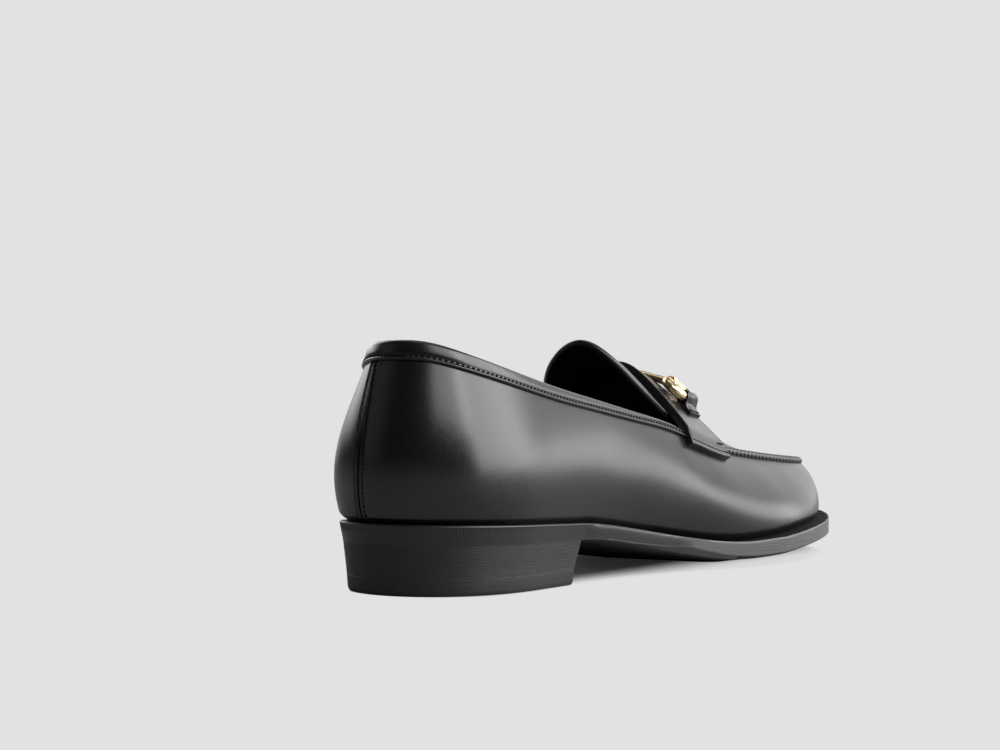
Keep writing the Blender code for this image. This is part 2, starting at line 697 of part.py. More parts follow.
def ring_path(steps=10):
    """Stadium-shaped path of a ring in its own plane."""
    half = RING_STRAIGHT / 2
    path = []
    for end in (1, -1):
        for step in range(steps + 1):
            angle = math.pi * step / steps - math.pi / 2
            bend = Vector((math.cos(angle), math.sin(angle), 0.0)) * RING_BEND_RADIUS * end
            path.append(bend + Vector((half * end, 0.0, 0.0)))
    return path


def make_bit_rings(carrier):
    for side, name in ((-1, "bit_ring_lateral"), (1, "bit_ring_medial")):
        frame = bit_frame(side)
        points = [frame @ point for point in ring_path()]
        wire(name, points, [RING_WIRE_RADIUS] * len(points), True, carrier)


def meshed(obj):
    """The same object as a mesh, with its loose caps welded on."""
    graph = bpy.context.evaluated_depsgraph_get()
    mesh = bpy.data.meshes.new_from_object(obj.evaluated_get(graph))
    bm = bmesh.new()
    bm.from_mesh(mesh)
    bmesh.ops.remove_doubles(bm, verts=bm.verts, dist=WELD * MM)
    bm.to_mesh(mesh)
    bm.free()
    name, carrier = obj.name, obj.parent
    bpy.data.objects.remove(obj)
    made = bpy.data.objects.new(name, mesh)
    bpy.data.collections[COLLECTION].objects.link(made)
    made.parent = carrier
    return made


def helper_cylinder(name, radius, length, matrix, carrier):
    """Round form along a ring's straight, kept as a hidden tool for a Boolean."""
    bm = bmesh.new()
    bmesh.ops.create_cone(
        bm, cap_ends=True, segments=20, radius1=radius * MM, radius2=radius * MM, depth=length * MM,
    )
    mesh = bpy.data.meshes.new(name)
    bm.to_mesh(mesh)
    bm.free()
    obj = bpy.data.objects.new(name, mesh)
    bpy.data.collections[TOOLS].objects.link(obj)
    obj.parent = carrier
    obj.matrix_local = matrix
    obj.hide_render = True
    obj.display_type = "WIRE"
    return obj


def make_bit_bar(carrier):
    """Bar over the ridge, with a bored boss at each end that a ring runs through."""
    frames = {side: bit_frame(side) for side in (-1, 1)}
    ends = {side: frames[side] @ Vector((0.0, -RING_BEND_RADIUS, 0.0)) for side in frames}
    middle = instep_points(BIT_X, 0.0, BAR_LIFT)
    arch = smooth_curve([0.0, 0.5, 1.0], [ends[-1], middle, ends[1]])
    shares = np.linspace(0.0, 1.0, 17)
    radii = BAR_WAIST_RADIUS + (BAR_RADIUS - BAR_WAIST_RADIUS) * np.sin(2 * math.pi * shares) ** 2
    bar = meshed(wire("bit_bar", arch(shares), radii, False, carrier))
    for side, frame in frames.items():
        along = frame.to_3x3() @ Vector((1.0, 0.0, 0.0))
        turn = along.to_track_quat("Z", "Y").to_matrix().to_4x4()
        seat = Matrix.Translation(ends[side] * MM) @ turn
        boss = helper_cylinder(f"boss_{side}", BOSS_RADIUS, BOSS_LENGTH, seat, carrier)
        bore = helper_cylinder(f"bore_{side}", RING_WIRE_RADIUS + GAP, 3 * BOSS_LENGTH, seat, carrier)
        for tool, operation in ((boss, "UNION"), (bore, "DIFFERENCE")):
            cut = bar.modifiers.new(tool.name, "BOOLEAN")
            cut.object = tool
            cut.operation = operation


def strap_face(side, down):
    """Height of the strap's face over the plane of a ring, at distances down from its outer straight."""
    y = side * np.linspace(RING_SIDE_Y, RING_SIDE_Y + RING_BEND_RADIUS + LOOP_TAIL, 12)
    face = instep_points(BIT_X, y, GAP + STRAP_LIFT + STRAP_THICKNESS)
    seat = bit_frame(side).inverted()
    local = np.array([seat @ Vector(point) for point in face])
    return np.interp(down, local[:, 1] - RING_BEND_RADIUS, local[:, 2])


def loop_outline(side):
    """Outline of a loop: round the ring's wire, then along the strap and back over its own tail."""
    turns = np.radians(LOOP_START_ANGLE + LOOP_SWEEP_ANGLE * np.linspace(0.0, 1.0, 13))
    outline = [(LOOP_OUTER_RADIUS * math.cos(turn), LOOP_OUTER_RADIUS * math.sin(turn)) for turn in turns]
    down = LOOP_TAIL * np.array([0.4, 0.7, 1.0, 1.0, 0.6])
    over = GAP + LOOP_TAIL_THICKNESS * np.array([0.0, 0.0, 0.0, 1.0, 1.4])
    return outline + list(zip(down, strap_face(side, down) + over))


def make_bit_loops(carrier):
    """Leather folded round the outer straight of each ring, its tail sewn down on the strap."""
    bore = RING_WIRE_RADIUS + GAP
    turns = np.linspace(0, 2 * math.pi, 16, endpoint=False)
    inner = [(bore * math.cos(turn), bore * math.sin(turn)) for turn in turns]
    for side, name in ((-1, "bit_loop_lateral"), (1, "bit_loop_medial")):
        curve = bpy.data.curves.new(name, "CURVE")
        curve.dimensions = "2D"
        curve.fill_mode = "BOTH"
        curve.extrude = LOOP_WIDTH / 2 * MM
        for outline in (loop_outline(side), inner):
            spline = curve.splines.new("POLY")
            spline.points.add(len(outline) - 1)
            for slot, (x, y) in zip(spline.points, outline):
                slot.co = (x * MM, y * MM, 0.0, 1.0)
            spline.use_cyclic_u = True
        obj = place(name, curve, "calf_upper", carrier)
        frame = bit_frame(side)
        down, normal = frame.col[1].xyz, frame.col[2].xyz
        axis = down.cross(normal)
        turn = Matrix((down, normal, axis)).transposed().to_4x4()
        seat = frame @ Vector((0.0, RING_BEND_RADIUS, 0.0))
        obj.matrix_local = Matrix.Translation(seat * MM) @ turn


def centre_shoe(carrier):
    """Moves the shoe so that the middle of its box is over the scene's origin."""
    bpy.context.view_layer.update()
    graph = bpy.context.evaluated_depsgraph_get()
    corners = []
    for obj in bpy.data.collections[COLLECTION].objects:
        if obj.type == "EMPTY":
            continue
        made = obj.evaluated_get(graph)
        mesh = made.to_mesh()
        corners += [made.matrix_world @ vertex.co for vertex in mesh.vertices]
        made.to_mesh_clear()
    corners = np.array(corners)
    middle = 0.5 * (corners.min(axis=0) + corners.max(axis=0))
    carrier.location = (-middle[0], -middle[1], -corners[:, 2].min())


def main():
    for obj in list(bpy.data.objects):
        bpy.data.objects.remove(obj)
    for name in (COLLECTION, TOOLS):
        collection = bpy.data.collections.new(name)
        bpy.context.scene.collection.children.link(collection)
    carrier = bpy.data.objects.new("shoe_carrier", None)
    bpy.data.collections[COLLECTION].objects.link(carrier)
    make_outsole(carrier)
    make_welt(carrier)
    make_heel(carrier)
    make_insole(carrier)
    make_upper(carrier)
    make_collar_band(carrier)
    make_tongue(carrier)
    make_saddle_strap(carrier)
    make_bit_loops(carrier)
    make_bit_rings(carrier)
    make_bit_bar(carrier)
    centre_shoe(carrier)


main()
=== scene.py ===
"""Dresses the snaffle-bit loafer: leather, stitching, sole edge, heel, brass bit and a studio stage.

Sizes in the tables are millimetres on the last: x from the back of the heel seat to the toe, y to the
inner (medial) side of the foot, z up from the floor. in_frame() turns them into metres of the model.
"""

import json
import math
from collections import namedtuple

import bpy
import numpy as np
from mathutils import Matrix, Vector


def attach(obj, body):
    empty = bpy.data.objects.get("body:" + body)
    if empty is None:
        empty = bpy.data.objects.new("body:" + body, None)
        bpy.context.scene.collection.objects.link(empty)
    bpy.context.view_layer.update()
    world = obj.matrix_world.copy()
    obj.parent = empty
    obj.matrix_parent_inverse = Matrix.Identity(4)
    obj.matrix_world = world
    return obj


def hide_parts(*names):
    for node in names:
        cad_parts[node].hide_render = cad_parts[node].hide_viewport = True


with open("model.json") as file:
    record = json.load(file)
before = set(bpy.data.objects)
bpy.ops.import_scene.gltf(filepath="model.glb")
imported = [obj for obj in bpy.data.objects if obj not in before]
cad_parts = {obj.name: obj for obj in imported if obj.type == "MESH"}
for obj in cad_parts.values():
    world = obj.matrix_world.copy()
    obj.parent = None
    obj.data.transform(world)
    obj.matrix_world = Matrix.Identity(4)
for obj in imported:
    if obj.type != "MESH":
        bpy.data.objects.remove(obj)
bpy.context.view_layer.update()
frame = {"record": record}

bl_info = {
    "name": "Snaffle-bit loafer",
    "version": (1, 0, 0),
    "blender": (4, 2, 0),
    "location": "View3D > Sidebar > Loafer",
    "description": "Builds the leather, sole, heel, brass bit and stitching of a right loafer",
    "category": "Object",
}

MM = 0.001
GAP = 0.3
WELD = 0.005
UP = np.array([0.0, 0.0, 1.0])
SIDES = {-1: "lateral", 1: "medial"}

# The model's floor rest under the heel, on the last
HEEL_REST_AT = np.array([36.0, 0.0, 0.0])
HEEL_REST = next(mount for mount in frame["record"]["mounts"] if mount["name"] == "heel_rest")
SHIFT = np.array(HEEL_REST["pos_m"]) / MM - HEEL_REST_AT

# Columns of a piece on each side of the shoe, from the heel to the breast, to the throat and to the toe
UPPER_COLUMNS = (46, 40, 92)
SOLE_COLUMNS = (380, 150, 400)
SOCK_COLUMNS = (40, 30, 60)
BEND_WEIGHT = 60.0
# How far the fan of a flat face goes in from its outline before it meets the middle line
SPINE_SHARE = 0.6
# Points across and along the tongue and the strap, and along the band, the bar and a loop
TONGUE_GRID = (81, 30)
STRAP_GRID = (97, 29)
BAND_STEPS = 420
BAND_STITCH_STEPS = 600
BAR_STEPS = 90
LOOP_STEPS = 90

# Sole and heel
SOLE_LENGTH = 300.0
OUTSOLE_THICKNESS = 4.0
INSOLE_CLEARANCE = 0.7
SEAT_BACK_HEIGHT = 16.9
SEAT_FRONT_HEIGHT = 15.2
BREAST_X = 75.0
BREAST_RAKE = 3.0
TREAD_START_X = 178.0
TREAD_END_X = 194.0
TOE_SPRING = 8.0
SPRING_POWER = 1.15
TOP_PIECE_THICKNESS = 5.5
WELT_UNDER_WALL = 2.0
# Marks on the sole's edge: how deep they are and where they start or fade, along the shoe and down the edge
KNURL_DEPTH = 0.16
KNURL_FADES_X = (12.0, 60.0)
KNURL_TOP = (0.06, 0.12)
KNURL_FOOT = (0.4, 0.5)
WHEEL_DEPTH = 0.35
WHEEL_STARTS_X = (118.0, 126.0)

# Upper
UPPER_WALL = 2.0
WALL_PULL = 0.42
WALL_LEVELS = np.concatenate(
    [np.linspace(0.0, 0.24, 22), np.linspace(0.26, 0.9, 32), np.linspace(0.92, 1.0, 6)]
)
THROAT_X = 164.0
INSTEP_BACK_X = 130.0
APRON_FAN_X = 258.0
APRON_ROWS = 26
# How round the instep is on top: place along the shoe, roundness
ROOF_ROUND = [(136.0, 0.6), (153.0, 0.24), (165.0, 0.24), (250.0, 0.7)]
PAST_SEAM_FALL = 0.8
FEATHER_HEIGHT = 3.6
FEATHER_TUCK = 2.6
FEATHER_BEND = 2.2

# Gathers of the skirt at the toe, and how far the bead of the apron seam draws in at a stitch and leans
GATHER_DEPTH = 0.16
GATHER_PITCH = 6.6
GATHER_REACH = 0.2
GATHER_STARTS_X = (232.0, 268.0)
BEAD_WAIST = 0.72
BEAD_SWELL = 0.4
BEAD_ROUND = 0.6
BEAD_LEAN = 0.12
BEAD_UNDER_STRAP = 5.0

# Collar band, tongue and saddle strap
BAND_END_X = 151.0
BAND_FRONT_X = 143.0
BAND_DEPTH_BACK = 7.0
BAND_DEPTH_FRONT = 3.6
BAND_STITCH_HEIGHT = 1.6
BAND_STITCH_STAND = 0.9
TONGUE_THICKNESS = 2.4
TONGUE_SPREAD = 0.95
TONGUE_TIP_CLOSER = 1.4
STRAP_TOP = 3.0
STRAP_REAR_OVERLAP = 3.2
STRAP_FRONT_OVERLAP = 2.6
STRAP_REAR_SIDE_X = 146.5
STRAP_REAR_RIDGE_X = 158.5
STRAP_REAR_BOW = 1.5
STRAP_FRONT_SIDE_X = 176.0
STRAP_FRONT_RIDGE_X = 168.5
STRAP_BRIDGE_SHARE = 0.14
STRAP_SWELL_SHARE = 0.36
STRAP_STITCH_SHARE = 0.93
STRAP_STITCH_RUN = (0.76, 0.95)
STRAP_STITCH_LIFT = STRAP_TOP + 0.03

# Stitches: share of the pitch that a thread shows, and how far the rows' threads slant, in radians
STITCH_SHARE = 0.62
BAND_SLANT = 0.3
BACK_SLANT = 0.15

# Brass bit and the leather loops that hold it
BIT_X = 171.6
RING_SIDE_Y = 15.0
RING_WIRE_RADIUS = 1.95
RING_STRAIGHT = 6.5
RING_BEND_RADIUS = 4.2
RING_LIFT = 2.95
LOOP_WIDTH = 9.6
LOOP_TAIL_WIDTH = 11.0
LOOP_TAIL = 6.6
LOOP_LEATHER = 0.6
LOOP_SLACK = 0.05
LOOP_FOLD = (262.0, 62.0)
LOOP_FLARE_AT = 0.55 * LOOP_TAIL
LOOP_STITCH_AT = 0.84 * LOOP_TAIL
LOOP_STITCH_LIFT = 2.2 * LOOP_LEATHER
LOOP_STITCH_MARGIN = 0.8
BAR_LIFT = 2.5
BAR_END_SHARE = 0.09
EYE_RADIUS = 2.3
EYE_WIRE_RADIUS = 0.45
EYE_LENGTH = 4.0

Station = namedtuple(
    "Station",
    "x breadth margin undercut rise welt top_x top_breadth top_z foot_lean top_lean",
)

# Each row is one place on the sole's edge: its distance from the long axis, the step in to the upper, the
# bevel of the edge, its rise over the tread, the welt's thickness, the collar line or apron seam above it
# and the wall's angles at its foot and its top.
HEEL_BACK = Station(0.4, -5.0, 2.0, 1.5, 0.0, 2.6, 9.2, -4.4, 84.4, 21, 18)
LATERAL = [
    Station(1.4, 9.4, 2.0, 1.5, 0.0, 2.6, 10.4, 6.8, 84.2, 21, 19),
    Station(10.6, 24.2, 2.2, 1.5, 0.0, 2.6, 18.4, 17.6, 80.6, 21, 20),
    Station(30.0, 32.8, 2.4, 1.5, 0.0, 2.4, 36.0, 24.6, 74.8, 20, 20),
    Station(54.0, 33.8, 2.3, 1.8, 0.0, 2.0, 60.0, 27.8, 68.7, 19, 20),
    Station(82.0, 33.4, 2.0, 3.0, 0.2, 1.4, 88.0, 29.2, 63.2, 19, 22),
    Station(113.0, 35.0, 2.0, 5.0, 1.5, 1.2, 116.0, 30.4, 57.8, 20, 26),
    Station(143.0, 41.0, 3.0, 3.5, 2.5, 1.6, 142.0, 31.8, 52.2, 22, 32),
    Station(172.0, 48.5, 4.2, 1.0, 2.8, 2.3, 166.0, 33.0, 44.6, 21, 42),
    Station(203.0, 52.6, 5.0, 0.8, 3.7, 2.4, 196.0, 32.6, 39.8, 18, 48),
    Station(233.0, 48.8, 4.8, 0.8, 3.8, 2.4, 226.0, 31.4, 36.8, 15, 50),
    Station(261.0, 37.6, 4.4, 0.8, 2.5, 2.4, 253.5, 27.6, 34.7, 12, 50),
    Station(283.0, 23.2, 4.6, 0.8, 1.2, 2.4, 271.0, 19.0, 33.7, 10, 50),
    Station(296.0, 8.4, 5.0, 0.8, 0.7, 2.4, 281.0, 8.8, 33.4, 9, 50),
]
TOE_TIP = Station(SOLE_LENGTH, -4.0, 5.6, 0.8, 0.6, 2.4, 284.5, -4.0, 33.3, 9, 50)
MEDIAL = [
    Station(5.4, 18.2, 2.0, 1.5, 0.0, 2.6, 13.6, 12.9, 83.4, 20, 19),
    Station(15.0, 29.0, 2.2, 1.5, 0.0, 2.6, 22.0, 20.0, 80.6, 20, 20),
    Station(32.0, 33.9, 2.4, 1.5, 0.0, 2.4, 38.0, 25.4, 76.0, 19, 20),
    Station(54.0, 33.6, 2.3, 1.8, 0.0, 2.0, 60.0, 28.0, 70.2, 20, 18),
    Station(82.0, 30.2, 2.0, 3.5, 0.2, 1.4, 88.0, 28.8, 65.2, 22, 18),
    Station(113.0, 27.4, 2.0, 6.0, 1.5, 1.2, 116.0, 29.4, 60.2, 26, 22),
    Station(143.0, 29.8, 3.0, 5.0, 2.5, 1.6, 142.0, 30.6, 54.6, 26, 30),
    Station(172.0, 38.2, 4.2, 1.5, 2.8, 2.3, 166.0, 31.8, 46.0, 22, 42),
    Station(203.0, 46.6, 5.0, 0.8, 3.4, 2.4, 196.0, 31.8, 40.8, 18, 48),
    Station(233.0, 48.8, 5.0, 0.8, 3.4, 2.4, 226.0, 31.2, 37.2, 15, 50),
    Station(261.0, 43.2, 5.2, 0.8, 2.4, 2.4, 253.5, 29.2, 34.9, 12, 50),
    Station(283.0, 31.8, 5.4, 0.8, 1.2, 2.4, 271.0, 22.6, 33.8, 10, 50),
    Station(296.0, 18.2, 5.6, 0.8, 0.7, 2.4, 281.0, 14.2, 33.4, 9, 50),
]
Section = namedtuple("Section", "edge margin undercut rise welt top foot_lean top_lean")
WallFrame = namedtuple("WallFrame", "up out stretch")

# The ridge of the instep (x, z) and half-width of the tongue along its length (x, half width)
RIDGE = [
    (INSTEP_BACK_X, 83.4), (145.0, 77.6), (159.0, 71.6), (178.0, 64.2), (200.0, 51.0),
    (225.0, 41.4), (250.0, 37.2), (268.0, 35.2), (285.0, 33.4),
]
TONGUE = [
    (131.0, 0.0), (131.4, 6.0), (132.9, 12.0), (136.4, 17.4), (143.4, 22.2), (154.0, 26.4),
    (THROAT_X - GAP, 29.6),
]

# Heel side: share of the way down, step in from the sole's edge
HEEL_PROFILE = [(0.0, 1.8), (0.35, 2.25), (0.7, 2.7), (1.0, 3.0)]
# Top piece: height over the floor, step in from the heel's foot
TOP_PIECE_PROFILE = [
    (TOP_PIECE_THICKNESS, 0.06), (TOP_PIECE_THICKNESS - 0.1, 0.0), (1.6, 0.3), (0.9, 0.45), (0.3, 0.7),
    (0.0, 1.1),
]
# Sock: step in from the wall, height
SOCK_PROFILE = [(0.0, 0.0), (0.0, 2.4), (0.2, 2.8), (0.8, 3.0)]

# Sole edge: place along the shoe, share of the edge's height at which its face ends in an arris
ARRIS = [
    (112.0, 0.97), (127.0, 0.83), (140.0, 0.6), (146.0, 0.66), (157.0, 0.77), (180.0, 0.85), (200.0, 0.86),
]
SEAT_ENDS_X = BREAST_X + 10.0
FOREPART_FROM_X = 131.0
FOREPART_TO_X = 144.0
# From here to the toe the bevel under the arris is darkened with painted shade, where it faces the floor
BEVEL_PAINTED_SHADE_FROM_X = 166.0
WELT_ROWS = 3
# Rounded border of the tread: place along the shoe, breadth
TREAD_BORDER = [(90.0, 12.0), (130.0, 18.0), (165.0, 25.0), (235.0, 25.0), (262.0, 15.0)]
TREAD_BORDER_ROWS = (0.35, 1.0)
TREAD_MEETS_FLOOR_X = (138.0, 188.0)
# Rows of the face, as shares of the way to the arris, and of the bevel below it: how far each lies inside
# the plain line at the seat and the forepart, and at the waist as a share of its undercut
EdgeRow = namedtuple("EdgeRow", "down seat waist forepart")
EDGE_FACE = [
    EdgeRow(0.0, 1.0, 0.16, 0.45), EdgeRow(0.03, 0.66, 0.08, 0.12), EdgeRow(0.08, 0.55, 0.02, 0.0),
    EdgeRow(0.2, 0.72, 0.0, 0.0), EdgeRow(0.3, 0.86, 0.01, 0.0), EdgeRow(0.45, 1.06, 0.06, 0.0),
    EdgeRow(0.6, 1.26, 0.15, 0.0), EdgeRow(0.75, 1.46, 0.26, 0.0), EdgeRow(0.9, 1.66, 0.38, 0.0),
    EdgeRow(0.95, 1.73, 0.38, 0.0), EdgeRow(1.0, 1.76, 0.42, 0.06),
]
EDGE_BEVEL = [
    EdgeRow(0.15, 1.77, 0.5, 0.3), EdgeRow(0.6, 1.79, 0.76, 1.3), EdgeRow(1.0, 1.8, 1.0, 2.2),
]

# Collar band: height over its lower edge, stand-off from the wall, up to the line where it thins evenly
BAND_EDGE = [
    (0.0, -0.3), (0.02, 0.5), (0.18, 0.88), (0.45, 1.12), (0.75, 1.15), (1.05, 1.0), (1.3, 0.84),
    (1.6, 0.78), (1.9, 0.84), (2.15, 1.0),
]
BAND_FACE = 1.15
BAND_FACE_ROWS = (0.3, 0.65, 1.0)
BAND_BACK = -2.2
BAND_ROLL = 1.4
BAND_TURN = (20.0, 180.0)
# Its facing inside the shoe: depth below the top line, stand-off from the wall's outer face
BAND_FACING = [(3.0, BAND_BACK), (6.0, BAND_BACK), (9.0, -2.15), (9.0, -UPPER_WALL / 2)]

# Rims of the tongue and the strap: share of the thickness, step in from the edge
TONGUE_RIM = [
    (0.0, 1.0), (0.07, 0.5), (0.22, 0.14), (0.42, 0.0), (0.58, 0.0), (0.78, 0.14), (0.93, 0.5), (1.0, 1.0),
]
STRAP_RIM = [
    (0.0, 0.3), (0.06, 0.06), (0.16, 0.0), (0.5, 0.0), (0.84, 0.0), (0.93, 0.08), (0.98, 0.26), (1.0, 0.5),
    (0.98, 0.72), (0.86, 0.82), (0.86, 0.98), (0.98, 1.1), (1.0, 1.35),
]

# Bit bar: share of its length, radius
BAR_PROFILE = [
    (0.0, 1.5), (0.12, 1.55), (0.2, 1.4), (0.3, 1.45), (0.4, 1.6), (0.5, 1.65),
    (0.6, 1.6), (0.7, 1.45), (0.8, 1.4), (0.88, 1.55), (1.0, 1.5),
]
# Strip of a loop, across: side, share of its half thickness; its corners are rounded at half the thickness
LOOP_OUTLINE = [(-1, 0), (-1, -1), (1, -1), (1, 0), (1, 1), (-1, 1)]
# Tail of a loop: share of its length, height of the upper leaf over the lower one in thicknesses
LOOP_LEAVES = [(1.0, 1.0), (0.75, 1.25), (0.5, 2.6)]

# Back seam: level on the wall, place along the perimeter
BACK_SEAM = [(0.0, -8.0), (0.5, -5.5), (1.0, -10.5)]
BACK_SEAM_ROW = 2.15
BACK_SEAM_COLUMNS = np.linspace(-17.0, 3.0, 101)
COLUMN_ROOM = 0.3
BACK_STITCH_SINK = 0.1
BACK_STITCH_RUN = (0.06, 0.93)
# Its relief across: height, distance from the seam, reach and sharpness of the groove, the turned edges and
# the stitch channels
BACK_SEAM_RELIEF = [(-1.3, 0.0, 0.62, 6), (0.42, 1.25, 0.45, 2), (-0.25, BACK_SEAM_ROW, 0.25, 2)]

# Full height of the finishes' waves and of their pores and file lines, in metres
WAVE_HEIGHT = 0.0012
MARK_HEIGHT = 0.00012
# How far the roughness of a finish strays either side of its value
LEATHER_SPREAD = 0.06
EDGE_SPREAD = 0.08
BRASS_SPREAD = 0.03

# Soft dents of the leather: x, level on the wall, reach in x, reach in level, depth; on the lateral and
# the medial side
Dent = namedtuple("Dent", "x level reach_x reach_level depth")
DENTS = [
    Dent(96.0, 0.62, 16.0, 0.22, 0.35),
    Dent(132.0, 0.45, 14.0, 0.25, 0.3),
    Dent(158.0, 0.7, 9.0, 0.2, 0.28),
    Dent(188.0, 0.55, 12.0, 0.3, 0.22),
    Dent(214.0, 0.72, 10.0, 0.25, 0.2),
    Dent(244.0, 0.6, 9.0, 0.3, 0.18),
]


def unit(vectors):
    return vectors / np.linalg.norm(vectors, axis=-1, keepdims=True)


def smooth_step(values, start, end):
    t = np.clip((values - start) / (end - start), 0.0, 1.0)
    return t * t * (3 - 2 * t)


def run_along(points):
    """Distance of each point from the first, along the line through them."""
    return np.concatenate([[0.0], np.cumsum(np.linalg.norm(np.diff(points, axis=0), axis=1))])


def in_frame(points):
    """Points on the last, in millimetres, as metres of the model."""
    return (np.asarray(points, float) + SHIFT) * MM


def smooth_curve(knots, rows, period=None):
    """Cubic spline through the rows, closed if it has a period, with natural ends if not."""
    rows = np.asarray(rows, float)
    if period:
        knots = np.append(knots, period)
        rows = np.vstack([rows, rows[:1]])
    knots = np.asarray(knots, float)
    steps = np.diff(knots)[:, None]
    slopes = np.diff(rows, axis=0) / steps
    count = len(knots)
    system = np.eye(count)
    target = np.zeros_like(rows)
    for i in range(1, count - 1):
        system[i, i - 1:i + 2] = steps[i - 1, 0], 2 * (steps[i - 1, 0] + steps[i, 0]), steps[i, 0]
        target[i] = 6 * (slopes[i] - slopes[i - 1])
    if period:
        first, last = steps[0, 0], steps[-1, 0]
        system[0, :2] = 2 * (last + first), first
        system[0, -2] = last
        target[0] = 6 * (slopes[0] - slopes[-1])
        system[-1, 0] = -1.0
    bends = np.linalg.solve(system, target)

    def at(places):
        places = np.atleast_1d(np.asarray(places, float))
        if period:
            places = np.mod(places, period)
        i = np.clip(np.searchsorted(knots, places, side="right") - 1, 0, count - 2)
        step = steps[i]
        right = (places - knots[i])[:, None] / step
        left = 1.0 - right
        curve = left * rows[i] + right * rows[i + 1]
        bow = (left ** 3 - left) * bends[i] + (right ** 3 - right) * bends[i + 1]
        return curve + bow * step ** 2 / 6

    return at


def table_curve(table):
    """Smooth curve through a table of places and values."""
    curve = smooth_curve([place for place, value in table], [[value] for place, value in table])

    def at(places):
        return curve(np.ravel(places))[:, 0].reshape(np.shape(places))

    return at


def read_table(places, table):
    """Values of a table of places and values, on straight lines between its rows."""
    return np.interp(places, *np.array(table).T)


def perimeter_curve():
    """Closed curve of all the station columns, from the heel back by the lateral side to the toe."""
    rows = np.array([HEEL_BACK, *LATERAL, TOE_TIP, *reversed(MEDIAL)], float)
    toe = len(LATERAL) + 1
    rows[:toe + 1, [1, 7]] *= -1.0
    rows[:, 9:] = np.radians(rows[:, 9:])
    knots = run_along(np.vstack([rows, rows[:1]])[:, :2])
    return smooth_curve(knots[:-1], rows, knots[-1]), knots[toe], knots[-1]


def seam_lines():
    """y and z of the apron seam and, behind the throat, of the collar as functions of x."""
    lines = {}
    for side, rows in ((-1, LATERAL), (1, MEDIAL)):
        rows = [row for row in rows if row.top_x > INSTEP_BACK_X]
        table = [[row.top_x, side * row.top_breadth, row.top_z] for row in rows]
        table = np.array([*table, [TOE_TIP.top_x, -TOE_TIP.top_breadth, TOE_TIP.top_z]])
        share = (INSTEP_BACK_X - table[0, 0]) / (table[1, 0] - table[0, 0])
        table = np.vstack([table[0] + (table[1] - table[0]) * share, table])
        lines[side] = smooth_curve(table[:, 0], table[:, 1:])
    return lines


PERIMETER, TOE_PLACE, ROUND = perimeter_curve()
SEAMS = seam_lines()
ridge_height = table_curve(RIDGE)
tongue_back = table_curve([(half, x) for x, half in TONGUE])
back_seam_place = table_curve(BACK_SEAM)
bar_radius = table_curve(BAR_PROFILE)
heel_inset = table_curve(HEEL_PROFILE)


def section(places):
    """Named columns of the stations at places along the perimeter."""
    columns = PERIMETER(places)
    margin, undercut, rise, welt = columns[:, 2:6].T
    rise = np.maximum(rise, 0.0)
    return Section(columns[:, :2], margin, undercut, rise, welt, columns[:, 6:9], *columns[:, 9:].T)


def outward_normals(places):
    """Unit plan vectors that point out of the sole's edge."""
    reach = 0.5
    along = unit(section(places + reach).edge - section(places - reach).edge)
    return np.column_stack([along[:, 1], -along[:, 0]])


def level_outs(places):
    """Unit vectors in space that point level out of the sole's edge."""
    return np.column_stack([outward_normals(places), np.zeros(len(places))])


def place_at(x, side, on_top=False):
    """Place on one side of the shoe where the sole's edge, or the top line, reaches x."""
    fine = np.linspace(0.0, TOE_PLACE if side < 0 else TOE_PLACE - ROUND, 2000)
    found = section(fine)
    reach = found.top[:, 0] if on_top else found.edge[:, 0]
    i = np.argmax(reach >= x)
    share = (x - reach[i - 1]) / (reach[i] - reach[i - 1])
    return fine[i - 1] + (fine[i] - fine[i - 1]) * share


def column_places(split):
    """Places right round the shoe in lateral and medial pairs, closer in the bends.

    split is how many lie on each side from the heel to the breast, to the throat and to the toe.
    """
    fine = np.linspace(0.0, ROUND, 2001)
    bend = np.linalg.norm(np.diff(outward_normals(fine), axis=0), axis=1)
    measure = np.concatenate([[0.0], np.cumsum(np.diff(fine) + BEND_WEIGHT * bend)])
    halves = {}
    for side, start in ((-1, 0.0), (1, ROUND)):
        corners = [place_at(BREAST_X, side), place_at(THROAT_X, side, on_top=True)]
        marks = np.interp([start, *np.mod(corners, ROUND), TOE_PLACE], fine, measure)
        runs = zip(marks, marks[1:], split)
        line = [np.linspace(low, high, count, endpoint=False) for low, high, count in runs]
        halves[side] = np.interp(np.concatenate(line), measure, fine)
    return np.concatenate([halves[-1], [TOE_PLACE], halves[1][:0:-1]])


def tread_height(x):
    """Height of the outsole's underside along the shoe: seat, arch, flat tread and toe spring."""
    x = np.asarray(x, float)
    fall = (SEAT_FRONT_HEIGHT - SEAT_BACK_HEIGHT) / BREAST_X
    seat = SEAT_BACK_HEIGHT + fall * x
    span = TREAD_START_X - BREAST_X
    t = np.clip((x - BREAST_X) / span, 0.0, 1.0)
    arch = SEAT_FRONT_HEIGHT * (2 * t ** 3 - 3 * t ** 2 + 1)
    arch = arch + 2 * fall * span * (t ** 3 - 2 * t ** 2 + t)
    rise = np.clip((x - TREAD_END_X) / (SOLE_LENGTH - TREAD_END_X), 0.0, None)
    return np.where(x < BREAST_X, seat, arch + TOE_SPRING * rise ** SPRING_POWER)


def edge_plan(places, inset):
    """The sole's edge in plan, moved inwards by inset."""
    inset = np.broadcast_to(inset, places.shape)
    return section(places).edge - outward_normals(places) * inset[:, None]


def sole_top(places, plan):
    """Height of the outsole's upper side under plan points near its edge."""
    return tread_height(plan[:, 0]) + section(places).rise + OUTSOLE_THICKNESS


